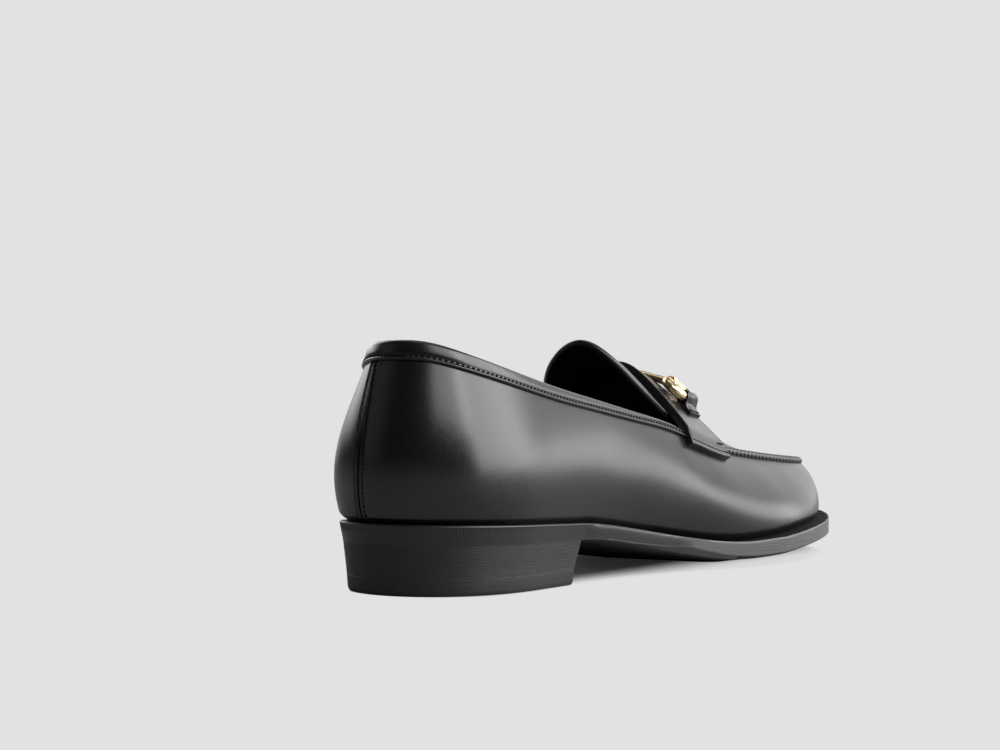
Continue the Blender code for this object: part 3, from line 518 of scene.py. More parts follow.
def wall_points(places, levels):
    """Rows of points on the upper's outer wall, from its foot (level 0) to its top line (level 1)."""
    part = section(places)
    out = level_outs(places)
    plan = edge_plan(places, part.margin)
    foot = np.column_stack([plan, sole_top(places, plan) + GAP])
    top = part.top
    pull = WALL_PULL * (top[:, 2] - foot[:, 2])[:, None]
    foot_lean = part.foot_lean[:, None]
    top_lean = part.top_lean[:, None]
    low = foot + pull * (UP * np.cos(foot_lean) + out * np.sin(foot_lean))
    high = top + pull * (out * np.sin(top_lean) - UP * np.cos(top_lean))
    t = np.asarray(levels, float).reshape(len(levels), -1, 1)
    lower = foot * (1 - t) ** 3 + low * 3 * t * (1 - t) ** 2
    return lower + high * 3 * t ** 2 * (1 - t) + top * t ** 3


def wall_frame(places, levels):
    """Unit vectors up and out of the wall, and the wall's stretch along the perimeter."""
    reach = 0.01
    levels = np.asarray(levels, float).reshape(len(levels), -1)
    along = wall_points(places + reach, levels) - wall_points(places - reach, levels)
    upward = wall_points(places, levels + reach) - wall_points(places, levels - reach)
    stretch = np.linalg.norm(along, axis=2) / (2 * reach)
    return WallFrame(unit(upward), unit(np.cross(along, upward)), stretch)


def levels_below_top(places, depths):
    """Wall levels that lie at distances, measured on the wall, below the top line."""
    fine = np.linspace(0.4, 1.0, 121)
    steps = np.linalg.norm(np.diff(wall_points(places, fine), axis=0), axis=2)
    below = np.vstack([np.cumsum(steps[::-1], axis=0)[::-1], np.zeros(len(places))])
    depths = np.reshape(depths, (len(depths), -1))
    depths = np.broadcast_to(depths, (len(depths), len(places)))
    found = [np.interp(-depths[:, i], -below[:, i], fine) for i in range(len(places))]
    return np.array(found).T


def off_wall(places, depths, stands):
    """Rows of points below the top line and off the wall, and the wall's vectors there."""
    levels = levels_below_top(places, depths)
    wall = wall_frame(places, levels)
    return wall_points(places, levels) + wall.out * np.reshape(stands, (-1, 1, 1)), wall


def roof(share, x):
    """Fall of the instep from its ridge (0) to the apron seam (1), rounder at the tongue and the toe."""
    bend = read_table(x, ROOF_ROUND)
    return (np.sqrt(bend ** 2 + share ** 2) - bend) / (np.sqrt(bend ** 2 + 1) - bend)


def instep_height(x, y):
    """Height of the instep's outer face over a point in plan, led on down past the seam."""
    x, y = np.broadcast_arrays(np.asarray(x, float), np.asarray(y, float))
    flat_x, flat_y = x.ravel(), y.ravel()
    seam = np.where((flat_y < 0)[:, None], SEAMS[-1](flat_x), SEAMS[1](flat_x))
    top = ridge_height(flat_x)
    past = np.clip(np.abs(flat_y) - np.abs(seam[:, 0]), 0.0, None)
    fall = (top - seam[:, 1]) * roof(np.abs(flat_y / seam[:, 0]), flat_x)
    return (top - fall - PAST_SEAM_FALL * past).reshape(x.shape)


def instep_normal(x, y):
    reach = 0.25
    slope_x = (instep_height(x + reach, y) - instep_height(x - reach, y)) / (2 * reach)
    slope_y = (instep_height(x, y + reach) - instep_height(x, y - reach)) / (2 * reach)
    return unit(np.stack([-slope_x, -slope_y, np.ones_like(slope_x)], axis=-1))


def instep_points(x, y, lift):
    """Points at a distance over the instep's outer face."""
    x, y = np.broadcast_arrays(np.asarray(x, float), np.asarray(y, float))
    return np.stack([x, y, instep_height(x, y)], axis=-1) + instep_normal(x, y) * lift


def add_primitive(add, name, **sizes):
    """Primitive under its own name, added with everything else deselected."""
    bpy.ops.object.select_all(action="DESELECT")
    add(**sizes)
    piece = bpy.context.object
    piece.name = name
    piece.data.name = name
    return piece


def grid_piece(name, points):
    """Grid whose vertices are laid on rows of points; faces look along columns crossed with rows."""
    rows, columns = points.shape[:2]
    add = bpy.ops.mesh.primitive_grid_add
    piece = add_primitive(add, name, x_subdivisions=columns - 1, y_subdivisions=rows - 1)
    piece.data.vertices.foreach_set("co", in_frame(points).ravel())
    piece.data.update()
    return piece


def pick(*pieces):
    bpy.ops.object.select_all(action="DESELECT")
    for piece in pieces:
        piece.select_set(True)
    bpy.context.view_layer.objects.active = pieces[0]


def join(pieces):
    """One piece of several, under the first one's name."""
    pick(*pieces)
    bpy.ops.object.join()
    return bpy.context.object


def close_up(piece, fill=False, turn=True):
    """Merges edges that meet, fills open ends and turns the faces outwards."""
    pick(piece)
    bpy.ops.object.mode_set(mode="EDIT")
    bpy.ops.mesh.select_all(action="SELECT")
    bpy.ops.mesh.remove_doubles(threshold=WELD * MM)
    if fill:
        bpy.ops.mesh.fill_holes(sides=0)
    if turn:
        bpy.ops.mesh.select_all(action="SELECT")
        bpy.ops.mesh.normals_make_consistent(inside=False)
    bpy.ops.object.mode_set(mode="OBJECT")
    return piece


def closed_columns(grid):
    """Rows of points with the first column repeated at the end."""
    return np.concatenate([grid, grid[:, :1]], axis=1)


def round_sections(path, radii, angles, first, second):
    """Rings of points round a path, in the plane of two vectors at each of its points."""
    turn_first = np.cos(angles)[None, :, None] * first[:, None]
    turn_second = np.sin(angles)[None, :, None] * second[:, None]
    return path[:, None] + radii[:, :, None] * (turn_first + turn_second)


def tube_piece(name, sections):
    """Solid through sections: sections[i, k] is corner k of the outline at step i along the path."""
    return close_up(grid_piece(name, closed_columns(sections).transpose(1, 0, 2)), fill=True)


def slab_piece(name, surface, across, along, thickness, rim):
    """Leather between two lifts over a curved surface, with the rim's profile round its edge."""
    grids = [surface(across, along, share * thickness, inset) for share, inset in rim]
    loops = []
    for grid in grids:
        loops.append(np.concatenate([grid[0], grid[1:, -1], grid[-1, -2::-1], grid[-2:0:-1, 0]]))
    faces = [closed_columns(np.array(loops)), grids[0], grids[-1]]
    return close_up(join([grid_piece(name, face) for face in faces]))


def with_spines(rows):
    """Rows of a closed ring with a first and a last row on the middle line between their paired columns."""
    count = rows.shape[1]
    pairs = (count - np.arange(count)) % count
    ends = []
    for row in (rows[0], rows[-1]):
        middle = 0.5 * (row + row[pairs])
        ends.append([middle, row + (middle - row) * SPINE_SHARE])
    return np.concatenate([np.array(ends[0]), rows, np.array(ends[1][::-1])])


def finish_piece(piece, materials, nodes=(), crease=60.0):
    """Smooths a piece up to a crease angle, gives it materials, and lets it ride the shoe.

    nodes are the CAD nodes that the piece stands for.
    """
    pick(piece)
    bpy.ops.object.shade_smooth_by_angle(angle=math.radians(crease))
    for made in materials:
        piece.data.materials.append(made)
    if nodes:
        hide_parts(*nodes)
    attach(piece, "root")


def stitch_row(name, centres, alongs, outs, length, width):
    """Threads of one size laid at centres, along and out of the leather as the vectors say."""
    add = bpy.ops.mesh.primitive_uv_sphere_add
    single = add_primitive(add, "single_stitch", segments=8, ring_count=5, radius=1.0)
    corners = np.array([vertex.co for vertex in single.data.vertices])
    faces = [list(face.vertices) for face in single.data.polygons]
    bpy.ops.object.delete()
    alongs = unit(alongs)
    sides = unit(np.cross(outs, alongs))
    ups = np.cross(alongs, sides)
    axes = np.stack([sides * (width / 2), ups * (width / 2), alongs * (length / 2)], axis=1)
    points = centres[:, None] + corners[None] @ axes
    starts = range(0, len(centres) * len(corners), len(corners))
    every = [[start + corner for corner in face] for start in starts for face in faces]
    mesh = bpy.data.meshes.new(name)
    mesh.from_pydata(in_frame(points).reshape(-1, 3).tolist(), [], every)
    piece = bpy.data.objects.new(name, mesh)
    bpy.context.collection.objects.link(piece)
    return close_up(piece)


def add_node(tree, kind, inputs=None, **settings):
    """Node with its settings and its inputs, which are constants or sockets that lead into them."""
    node = tree.nodes.new(kind)
    for key, value in settings.items():
        setattr(node, key, value)
    for key, value in (inputs or {}).items():
        if isinstance(value, bpy.types.NodeSocket):
            tree.links.new(value, node.inputs[key])
        else:
            node.inputs[key].default_value = value
    return node


def object_place(tree):
    return add_node(tree, "ShaderNodeTexCoord").outputs["Object"]


def noise(tree, where, scale, detail, roughness=0.5):
    inputs = {"Vector": where, "Scale": scale, "Detail": detail, "Roughness": roughness}
    return add_node(tree, "ShaderNodeTexNoise", inputs).outputs["Fac"]


def marks_group(name, inputs):
    """New node group with named values in, and a normal and a tone out."""
    tree = bpy.data.node_groups.new(name, "ShaderNodeTree")
    for key in inputs:
        tree.interface.new_socket(key, in_out="INPUT", socket_type="NodeSocketFloat")
    tree.interface.new_socket("Normal", in_out="OUTPUT", socket_type="NodeSocketVector")
    tree.interface.new_socket("Tone", in_out="OUTPUT", socket_type="NodeSocketFloat")
    return tree, add_node(tree, "NodeGroupInput").outputs, object_place(tree)


def grain_group():
    """Node group: fine pores and soft unevenness of finished leather as a normal and a tone."""
    found = bpy.data.node_groups.get("leather_grain")
    if found:
        return found
    tree, given, where = marks_group("leather_grain", ("Pore depth", "Waviness"))
    pores = noise(tree, where, scale=2400.0, detail=1.0)
    fibre = noise(tree, where, scale=900.0, detail=3.0)
    broad = noise(tree, where, scale=55.0, detail=4.0, roughness=0.56)
    fine = add_node(tree, "ShaderNodeMath", {0: pores, 1: fibre}, operation="ADD").outputs[0]
    waves = {"Strength": given["Waviness"], "Distance": WAVE_HEIGHT, "Height": broad}
    wave = add_node(tree, "ShaderNodeBump", waves).outputs["Normal"]
    holes = {"Strength": given["Pore depth"], "Distance": MARK_HEIGHT, "Height": fine, "Normal": wave}
    skin = add_node(tree, "ShaderNodeBump", holes).outputs["Normal"]
    add_node(tree, "NodeGroupOutput", {"Normal": skin, "Tone": fibre})
    return tree


def file_group():
    """Node group: fine lines that run level round a filed and waxed edge, as a normal and a tone."""
    found = bpy.data.node_groups.get("filed_edge")
    if found:
        return found
    tree, given, where = marks_group("filed_edge", ("Line depth",))
    level = add_node(tree, "ShaderNodeMapping", {"Vector": where, "Scale": (30.0, 30.0, 2600.0)})
    lines = noise(tree, level.outputs["Vector"], scale=1.0, detail=4.0)
    cuts = {"Strength": given["Line depth"], "Distance": MARK_HEIGHT, "Height": lines}
    filed = add_node(tree, "ShaderNodeBump", cuts).outputs["Normal"]
    add_node(tree, "NodeGroupOutput", {"Normal": filed, "Tone": lines})
    return tree


def new_material(name, **values):
    """Material with constants on its shader's sockets, and that shader."""
    made = bpy.data.materials.new(name)
    made.use_nodes = True
    shader = made.node_tree.nodes["Principled BSDF"]
    for key, value in values.items():
        shader.inputs[key.replace("_", " ")].default_value = value
    return made, shader


def vary_roughness(tree, shader, tone, roughness, spread):
    """Lets a tone from 0 to 1 lead the roughness through a spread either side of its value."""
    limits = {"Value": tone, "To Min": roughness - spread, "To Max": roughness + spread}
    ramp = add_node(tree, "ShaderNodeMapRange", limits)
    tree.links.new(ramp.outputs["Result"], shader.inputs["Roughness"])


def marked_material(name, colour, roughness, spread, group, depths, specular):
    """Material whose normal and roughness follow the marks of a node group."""
    made = bpy.data.materials.get(name)
    if made:
        return made
    made, shader = new_material(name, Base_Color=(*colour, 1.0), Specular_IOR_Level=specular)
    marks = add_node(made.node_tree, "ShaderNodeGroup", depths, node_tree=group)
    made.node_tree.links.new(marks.outputs["Normal"], shader.inputs["Normal"])
    vary_roughness(made.node_tree, shader, marks.outputs["Tone"], roughness, spread)
    return made


def leather_material(name, colour, roughness, pore_depth, waviness, specular=0.5):
    depths = {"Pore depth": pore_depth, "Waviness": waviness}
    return marked_material(name, colour, roughness, LEATHER_SPREAD, grain_group(), depths, specular)


def edge_material(name, colour, roughness, line_depth, specular):
    depths = {"Line depth": line_depth}
    return marked_material(name, colour, roughness, EDGE_SPREAD, file_group(), depths, specular)


def soft_ramp(tree, value, start, end, low, high):
    """Value that passes softly from low to high while another goes from start to end."""
    limits = {"Value": value, "From Min": start, "From Max": end, "To Min": low, "To Max": high}
    return add_node(tree, "ShaderNodeMapRange", limits, interpolation_type="SMOOTHSTEP").outputs["Result"]


def place_ramp(tree, axis, start, end, low=0.0, high=1.0):
    """Value that passes softly from low to high between two places on the last."""
    axes = add_node(tree, "ShaderNodeSeparateXYZ", {"Vector": object_place(tree)})
    shift = SHIFT["XYZ".index(axis)]
    start, end = (start + shift) * MM, (end + shift) * MM
    return soft_ramp(tree, axes.outputs[axis], start, end, low, high)


def tint_waist(made, rear_colour, colour):
    """Lets the base colour pass from the heel's to the forepart's along the waist."""
    tree = made.node_tree
    along = place_ramp(tree, "X", BREAST_X, FOREPART_TO_X)
    colours = {"Factor": along, "A": (*rear_colour, 1.0), "B": (*colour, 1.0)}
    tint = add_node(tree, "ShaderNodeMix", colours, data_type="RGBA")
    tree.links.new(tint.outputs["Result"], tree.nodes["Principled BSDF"].inputs["Base Color"])
    return made


def finish_values():
    return bpy.context.scene.loafer_finish


def calf():
    look = finish_values()
    marks = {"pore_depth": 0.1, "waviness": 0.07}
    return leather_material("black_box_calf", look.calf_colour, look.calf_roughness, **marks)


def lining():
    marks = {"roughness": 0.62, "pore_depth": 0.3, "waviness": 0.1}
    return leather_material("black_lining", finish_values().lining_colour, **marks)


def thread():
    marks = {"roughness": 0.75, "pore_depth": 0.4, "waviness": 0.0, "specular": 0.12}
    return leather_material("waxed_thread", finish_values().thread_colour, **marks)


def leather_tread():
    look = finish_values()
    marks = {"roughness": 0.8, "pore_depth": 0.5, "waviness": 0.1}
    made = leather_material("leather_tread", look.tread_colour, **marks)
    # The underside is darkened under the waist, where the arch shades it, and passes to the tread's own
    # colour towards the forepart: painted shade
    return tint_waist(made, look.welt_and_painted_shade_colour, look.tread_colour)


def waxed_edge():
    look = finish_values()
    marks = {"roughness": look.edge_roughness, "line_depth": 0.5, "specular": 0.4}
    made = edge_material("waxed_sole_edge", look.edge_colour, **marks)
    return tint_waist(made, look.heel_colour, look.edge_colour)


# Dark material of the welt's top and the forepart's bevel: partly the welt's own black finish, partly
# painted shade in the gap under the upper and on the bevel that faces the floor
def dark_welt_and_painted_shade():
    marks = {"roughness": 0.6, "line_depth": 0.3, "specular": 0.3}
    return edge_material("dark_welt_and_painted_shade", finish_values().welt_and_painted_shade_colour, **marks)


def filed_heel(name, colour):
    marks = {"roughness": finish_values().heel_roughness, "line_depth": 0.7, "specular": 0.38}
    return edge_material(name, colour, **marks)


def brass():
    made = bpy.data.materials.get("polished_brass")
    if made:
        return made
    look = finish_values()
    made, shader = new_material("polished_brass", Base_Color=(*look.brass_colour, 1.0), Metallic=1.0)
    wear = noise(made.node_tree, object_place(made.node_tree), scale=160.0, detail=2.0)
    vary_roughness(made.node_tree, shader, wear, look.brass_roughness, BRASS_SPREAD)
    return made


def upper_places():
    """Columns of the upper, with close ones either side of the back seam."""
    places = column_places(UPPER_COLUMNS)
    signed = np.where(places > ROUND / 2, places - ROUND, places)
    first, last = BACK_SEAM_COLUMNS[[0, -1]]
    kept = signed[(signed < first - COLUMN_ROOM) | (signed > last + COLUMN_ROOM)]
    return np.sort(np.mod(np.concatenate([kept, BACK_SEAM_COLUMNS]), ROUND))


def seam_relief(places, levels, stretch):
    """How far the outer face stands out along the back seam: groove, turned edges and stitch channels."""
    apart = np.abs(places[None] - back_seam_place(levels[:, None])) * stretch
    return sum(
        height * np.exp(-((apart - centre) / reach) ** sharpness)
        for height, centre, reach, sharpness in BACK_SEAM_RELIEF
    )


def wall_relief(places, levels):
    """How far the leather stands out of the plain wall: gathers at the toe and soft dents."""
    levels = levels[:, None]
    part = section(places)
    gather = GATHER_DEPTH * np.cos(2 * math.pi * places / GATHER_PITCH)
    gather = gather * smooth_step(part.top[:, 0], *GATHER_STARTS_X)
    relief = gather[None] * np.exp(-(1 - levels) / GATHER_REACH)
    for dent in DENTS:
        share_x = np.exp(-((part.edge[:, 0] - dent.x) / dent.reach_x) ** 2)
        share_level = np.exp(-((levels - dent.level) / dent.reach_level) ** 2)
        relief = relief - dent.depth * share_x[None] * share_level
    return relief


def tuck_in(places, grid):
    """Draws the foot of the wall in to the feather line over the welt."""
    over_welt = grid[:, :, 2] - grid[:1, :, 2] - section(places).welt[None]
    share = np.clip(1 - over_welt / FEATHER_HEIGHT, 0.0, 1.0) ** FEATHER_BEND
    grid[:, :, :2] -= (share * FEATHER_TUCK)[:, :, None] * outward_normals(places)[None]


def apron_grid(places, seam):
    """Rows from the apron seam up to the spine of the apron, over the columns in front of the throat."""
    top = section(places).top
    front = np.flatnonzero(top[:, 0] >= THROAT_X - WELD)
    spine_x = np.minimum(0.5 * (top[front, 0] + top[front[::-1], 0]), APRON_FAN_X)
    spine_y = 0.5 * (SEAMS[-1]([APRON_FAN_X])[0, 0] + SEAMS[1]([APRON_FAN_X])[0, 0])
    spine_y = spine_y * np.clip((spine_x - THROAT_X) / (APRON_FAN_X - THROAT_X), 0.0, 1.0)
    start = top[front, :2]
    reach = np.column_stack([spine_x, spine_y]) - start
    fall = top[front, 2] - ridge_height(top[front, 0])
    rows = [seam[front]]
    for share in np.linspace(0.0, 1.0, APRON_ROWS)[1:]:
        plan = start + reach * share
        height = ridge_height(plan[:, 0]) + fall * roof(1 - share, plan[:, 0])
        rows.append(np.column_stack([plan, height]))
    return np.array(rows)


def make_upper():
    """Skirt, quarters and apron as one lined wall, with the back seam sunk into its outer face."""
    places = upper_places()
    signed = np.where(places > ROUND / 2, places - ROUND, places)
    face = wall_frame(places, WALL_LEVELS)
    grid = wall_points(places, WALL_LEVELS) + face.out * wall_relief(signed, WALL_LEVELS)[:, :, None]
    tuck_in(places, grid)
    wall = grid_piece("upper_shell", closed_columns(grid))
    depth = seam_relief(signed, WALL_LEVELS, face.stretch)[:, :, None]
    seam = closed_columns(face.out * depth * MM)
    wall.data.attributes.new("seam", "FLOAT_VECTOR", "POINT").data.foreach_set("vector", seam.ravel())
    apron = grid_piece("apron", apron_grid(places, grid[-1]))
    piece = close_up(join([wall, apron]), turn=False)
    outer = len(piece.data.vertices)
    piece.data.materials.append(calf())
    piece.data.materials.append(lining())
    thick = piece.modifiers.new("wall", "SOLIDIFY")
    thick.thickness = UPPER_WALL * MM
    thick.offset = -1.0
    thick.material_offset = 1
    pick(piece)
    bpy.ops.object.modifier_apply(modifier=thick.name)
    sunk = piece.data.attributes["seam"]
    for vertex in piece.data.vertices[:outer]:
        vertex.co += sunk.data[vertex.index].vector
    piece.data.attributes.remove(sunk)
    finish_piece(piece, [], ["upper"])


def seam_path(step):
    """Places along the apron seam at even steps, from under one front corner of the strap to the other."""
    under_x = STRAP_FRONT_SIDE_X - BEAD_UNDER_STRAP
    start, end = (place_at(under_x, side, on_top=True) for side in SIDES)
    fine = np.linspace(start, np.mod(end, ROUND), 1500)
    run = run_along(section(fine).top)
    run_at = np.arange(0.0, run[-1], step)
    return np.interp(run_at, run, fine), run_at


def make_apron_seam():
    """Hand-sewn bead over the edge of the apron, puckered between its stitches."""
    detail = bpy.context.scene.loafer_detail
    pitch = detail.seam_pitch / MM
    places, run = seam_path(pitch / 10)
    angles = np.linspace(0.0, 2 * math.pi, 18, endpoint=False)
    turns = run[:, None] / pitch + BEAD_LEAN * (angles[None] - math.pi / 2)
    pucker = np.abs(np.sin(math.pi * turns)) ** BEAD_ROUND
    radii = detail.seam_radius / MM * (BEAD_WAIST + BEAD_SWELL * pucker)
    out = level_outs(places)
    sections = round_sections(section(places).top, radii, angles, out, np.broadcast_to(UP, out.shape))
    finish_piece(tube_piece("apron_seam", sections), [calf()], crease=70.0)


def band_places(count):
    lateral, medial = (place_at(BAND_END_X, side, on_top=True) for side in SIDES)
    return np.linspace(medial, lateral, count)


def band_depth(places):
    share = (section(places).top[:, 0] - HEEL_BACK.top_x) / (BAND_FRONT_X - HEEL_BACK.top_x)
    return BAND_DEPTH_BACK + (BAND_DEPTH_FRONT - BAND_DEPTH_BACK) * np.clip(share, 0.0, 1.0)


def make_collar_band():
    """Band sewn round the collar: turned lower edge, stitch channel, rolled top and the facing inside."""
    places = band_places(BAND_STEPS)
    depth = band_depth(places)
    below = [depth - height for height, stand in BAND_EDGE]
    stands = [stand for height, stand in BAND_EDGE]
    for share in BAND_FACE_ROWS:
        below.append((depth - BAND_EDGE[-1][0]) * (1 - share) + BAND_ROLL * share)
        stands.append(BAND_FACE)
    rows = list(off_wall(places, below, stands)[0])
    rim, wall = off_wall(places, [BAND_ROLL], [0.0])
    half = (BAND_FACE - BAND_BACK) / 2
    for angle in np.radians(np.linspace(*BAND_TURN, 9)):
        inward = half * math.cos(angle) - (half - BAND_FACE)
        rows.append(rim[0] + wall.out[0] * inward + wall.up[0] * BAND_ROLL * math.sin(angle))
    rows += list(off_wall(places, *zip(*BAND_FACING))[0])
    piece = tube_piece("collar_band_roll", np.array(rows).transpose(1, 0, 2))
    finish_piece(piece, [calf()], ["collar_band"], crease=50.0)


def tongue_surface(across, along, lift, inset):
    front_x, half_width = TONGUE[-1]
    y = (half_width - inset) * across
    length = front_x - tongue_back(np.abs(y))
    x = front_x - inset - (length - 2 * inset)[None] * along[:, None]
    return instep_points(x, np.broadcast_to(y, x.shape), lift - TONGUE_THICKNESS)


def make_tongue():
    across = np.sin(np.linspace(-1.0, 1.0, TONGUE_GRID[0]) * math.pi / 2) * TONGUE_SPREAD
    along = 1 - (1 - np.linspace(0.0, 1.0, TONGUE_GRID[1])) ** TONGUE_TIP_CLOSER
    piece = slab_piece("tongue_leather", tongue_surface, across, along, TONGUE_THICKNESS, TONGUE_RIM)
    finish_piece(piece, [calf()], ["tongue"])


def strap_plan(across, along, inset=0.0):
    """Plan point of the saddle strap: across from -1 to 1, along from its rear to its front edge."""
    side = np.abs(across)
    rear = STRAP_REAR_RIDGE_X + (STRAP_REAR_SIDE_X - STRAP_REAR_RIDGE_X) * side ** STRAP_REAR_BOW
    swell = smooth_step(side, STRAP_BRIDGE_SHARE, STRAP_BRIDGE_SHARE + STRAP_SWELL_SHARE)
    front = STRAP_FRONT_RIDGE_X + (STRAP_FRONT_SIDE_X - STRAP_FRONT_RIDGE_X) * swell
    x = rear + inset + (front - rear - 2 * inset) * along
    overlap = STRAP_REAR_OVERLAP + (STRAP_FRONT_OVERLAP - STRAP_REAR_OVERLAP) * along - inset
    seam_y = np.where(across < 0, SEAMS[-1](x)[:, 0], SEAMS[1](x)[:, 0])
    return x, across * (np.abs(seam_y) + overlap)


def strap_surface(across, along, lift, inset):
    return np.array([instep_points(*strap_plan(across, share, inset), lift) for share in along])


def make_saddle_strap():
    across = np.linspace(-1.0, 1.0, STRAP_GRID[0])
    along = np.linspace(0.0, 1.0, STRAP_GRID[1])
    piece = slab_piece("saddle_leather", strap_surface, across, along, STRAP_TOP, STRAP_RIM)
    finish_piece(piece, [calf()], ["saddle_strap"], crease=50.0)


def bit_frame(side, down=0.0):
    """Matrix of one ring: x along the shoe, y down its side, z out of the strap, in millimetres.

    down moves its origin from the ring's middle down the side.
    """
    y = side * RING_SIDE_Y
    centre = instep_points(BIT_X, y, STRAP_TOP + RING_LIFT)
    normal = Vector(instep_normal(BIT_X, y))
    along = Vector((1.0, 0.0, 0.0))
    along = (along - normal * along.dot(normal)).normalized()
    sideways = normal.cross(along)
    if sideways.y * side < 0:
        sideways.negate()
    turn = Matrix((along, sideways, normal)).transposed()
    return Matrix.Translation(Vector(centre)) @ turn.to_4x4() @ Matrix.Translation((0.0, down, 0.0))


def torus_piece(name, matrix, ring_steps, wire_steps, radius, wire_radius, straight=0.0):
    """Torus whose two halves are drawn apart by a straight, laid into a matrix of the last."""
    piece = add_primitive(
        bpy.ops.mesh.primitive_torus_add, name, major_segments=ring_steps, minor_segments=wire_steps,
        major_radius=radius, minor_radius=wire_radius,
    )
    for vertex in piece.data.vertices:
        if abs(vertex.co.x) > WELD:
            vertex.co.x += math.copysign(straight / 2, vertex.co.x)
    to_metres = Matrix.Scale(MM, 4) @ Matrix.Translation(Vector(SHIFT)) @ matrix
    piece.data.transform(to_metres)
    if to_metres.determinant() < 0:
        piece.data.flip_normals()
    piece.data.update()
    return piece


def make_bit_ring(side, name, node):
    sizes = (72, 24, RING_BEND_RADIUS, RING_WIRE_RADIUS, RING_STRAIGHT)
    piece = torus_piece(name, bit_frame(side), *sizes)
    finish_piece(piece, [brass()], [node])


def make_bit_bar():
    """Turned bar over the ridge, with an eye at each end that a ring runs through."""
    seats = [bit_frame(side, -RING_BEND_RADIUS) for side in SIDES]
    lateral, medial = (seat.translation for seat in seats)
    arch = smooth_curve([0.0, 0.5, 1.0], [lateral, instep_points(BIT_X, 0.0, BAR_LIFT), medial])
    shares = np.linspace(BAR_END_SHARE, 1 - BAR_END_SHARE, BAR_STEPS)
    path = arch(shares)
    tangents = unit(np.gradient(path, axis=0))
    first = unit(np.cross(tangents, np.array([1.0, 0.0, 0.0])))
    angles = np.linspace(0.0, 2 * math.pi, 24, endpoint=False)
    radii = bar_radius(shares)[:, None]
    sections = round_sections(path, radii, angles, first, np.cross(tangents, first))
    pieces = [tube_piece("bit_bar_turned", sections)]
    stretch = Matrix.Diagonal((1.0, 1.0, EYE_LENGTH / (2 * EYE_WIRE_RADIUS), 1.0))
    lie = Matrix.Rotation(math.pi / 2, 4, "Y") @ stretch
    pieces += [torus_piece("eye", seat @ lie, 40, 16, EYE_RADIUS, EYE_WIRE_RADIUS) for seat in seats]
    finish_piece(join(pieces), [brass()], ["bit_bar"])


def strap_face(side, down):
    """Height of the strap's face over the plane of a ring, at distances down from its outer straight."""
    y = side * np.linspace(RING_SIDE_Y, RING_SIDE_Y + RING_BEND_RADIUS + LOOP_TAIL, 12)
    seat = bit_frame(side, RING_BEND_RADIUS).inverted()
    local = np.array([seat @ Vector(point) for point in instep_points(BIT_X, y, STRAP_TOP)])
    return np.interp(down, local[:, 1], local[:, 2])


def loop_path(side):
    """The folded strip of a loop in its own plane: down the strap's side, and out of the strap."""
    radius = RING_WIRE_RADIUS + LOOP_SLACK + LOOP_LEATHER / 2
    shares, rises = np.array(LOOP_LEAVES).T
    down = LOOP_TAIL * shares
    under = strap_face(side, down) + LOOP_LEATHER / 2
    over = under + LOOP_LEATHER * rises
    angles = np.radians(np.linspace(*LOOP_FOLD, 15))
    fold = radius * np.column_stack([np.cos(angles), np.sin(angles)])
    path = np.vstack([np.column_stack([down, under]), fold, np.column_stack([down, over])[::-1]])
    knots = run_along(path)
    return smooth_curve(knots, path)(np.linspace(0.0, knots[-1], LOOP_STEPS))


def make_bit_loop(side, name, node):
    """Leather folded round the outer straight of a ring, its tail sewn down on the strap."""
    path = loop_path(side)
    tangents = unit(np.gradient(path, axis=0))
    across = np.column_stack([-tangents[:, 1], tangents[:, 0]])
    half = LOOP_LEATHER / 2
    widths = [(0.0, LOOP_WIDTH), (LOOP_FLARE_AT, LOOP_TAIL_WIDTH), (LOOP_TAIL, LOOP_TAIL_WIDTH)]
    width = read_table(path[:, 0], widths) / 2
    seat = bit_frame(side, RING_BEND_RADIUS)
    sections = []
    for way, share in LOOP_OUTLINE:
        line = np.column_stack([way * (width - abs(share) * half), path + across * share * half])
        sections.append([seat @ Vector(point) for point in line])
    piece = tube_piece(name, np.array(sections).transpose(1, 0, 2))
    finish_piece(piece, [calf()], [node], crease=50.0)


def edge_marks(places, edge_x):
    """Depths of the knurling round the seat and of the wheel's marks on the welt."""
    detail = bpy.context.scene.loafer_detail
    knurl = 0.5 + 0.5 * np.cos(2 * math.pi * places / (detail.knurl_pitch / MM))
    wheel = np.abs(np.sin(math.pi * places / (detail.wheel_pitch / MM))) ** 0.5
    knurl = KNURL_DEPTH * knurl * (1 - smooth_step(edge_x, *KNURL_FADES_X))
    return knurl, WHEEL_DEPTH * wheel * smooth_step(edge_x, *WHEEL_STARTS_X)


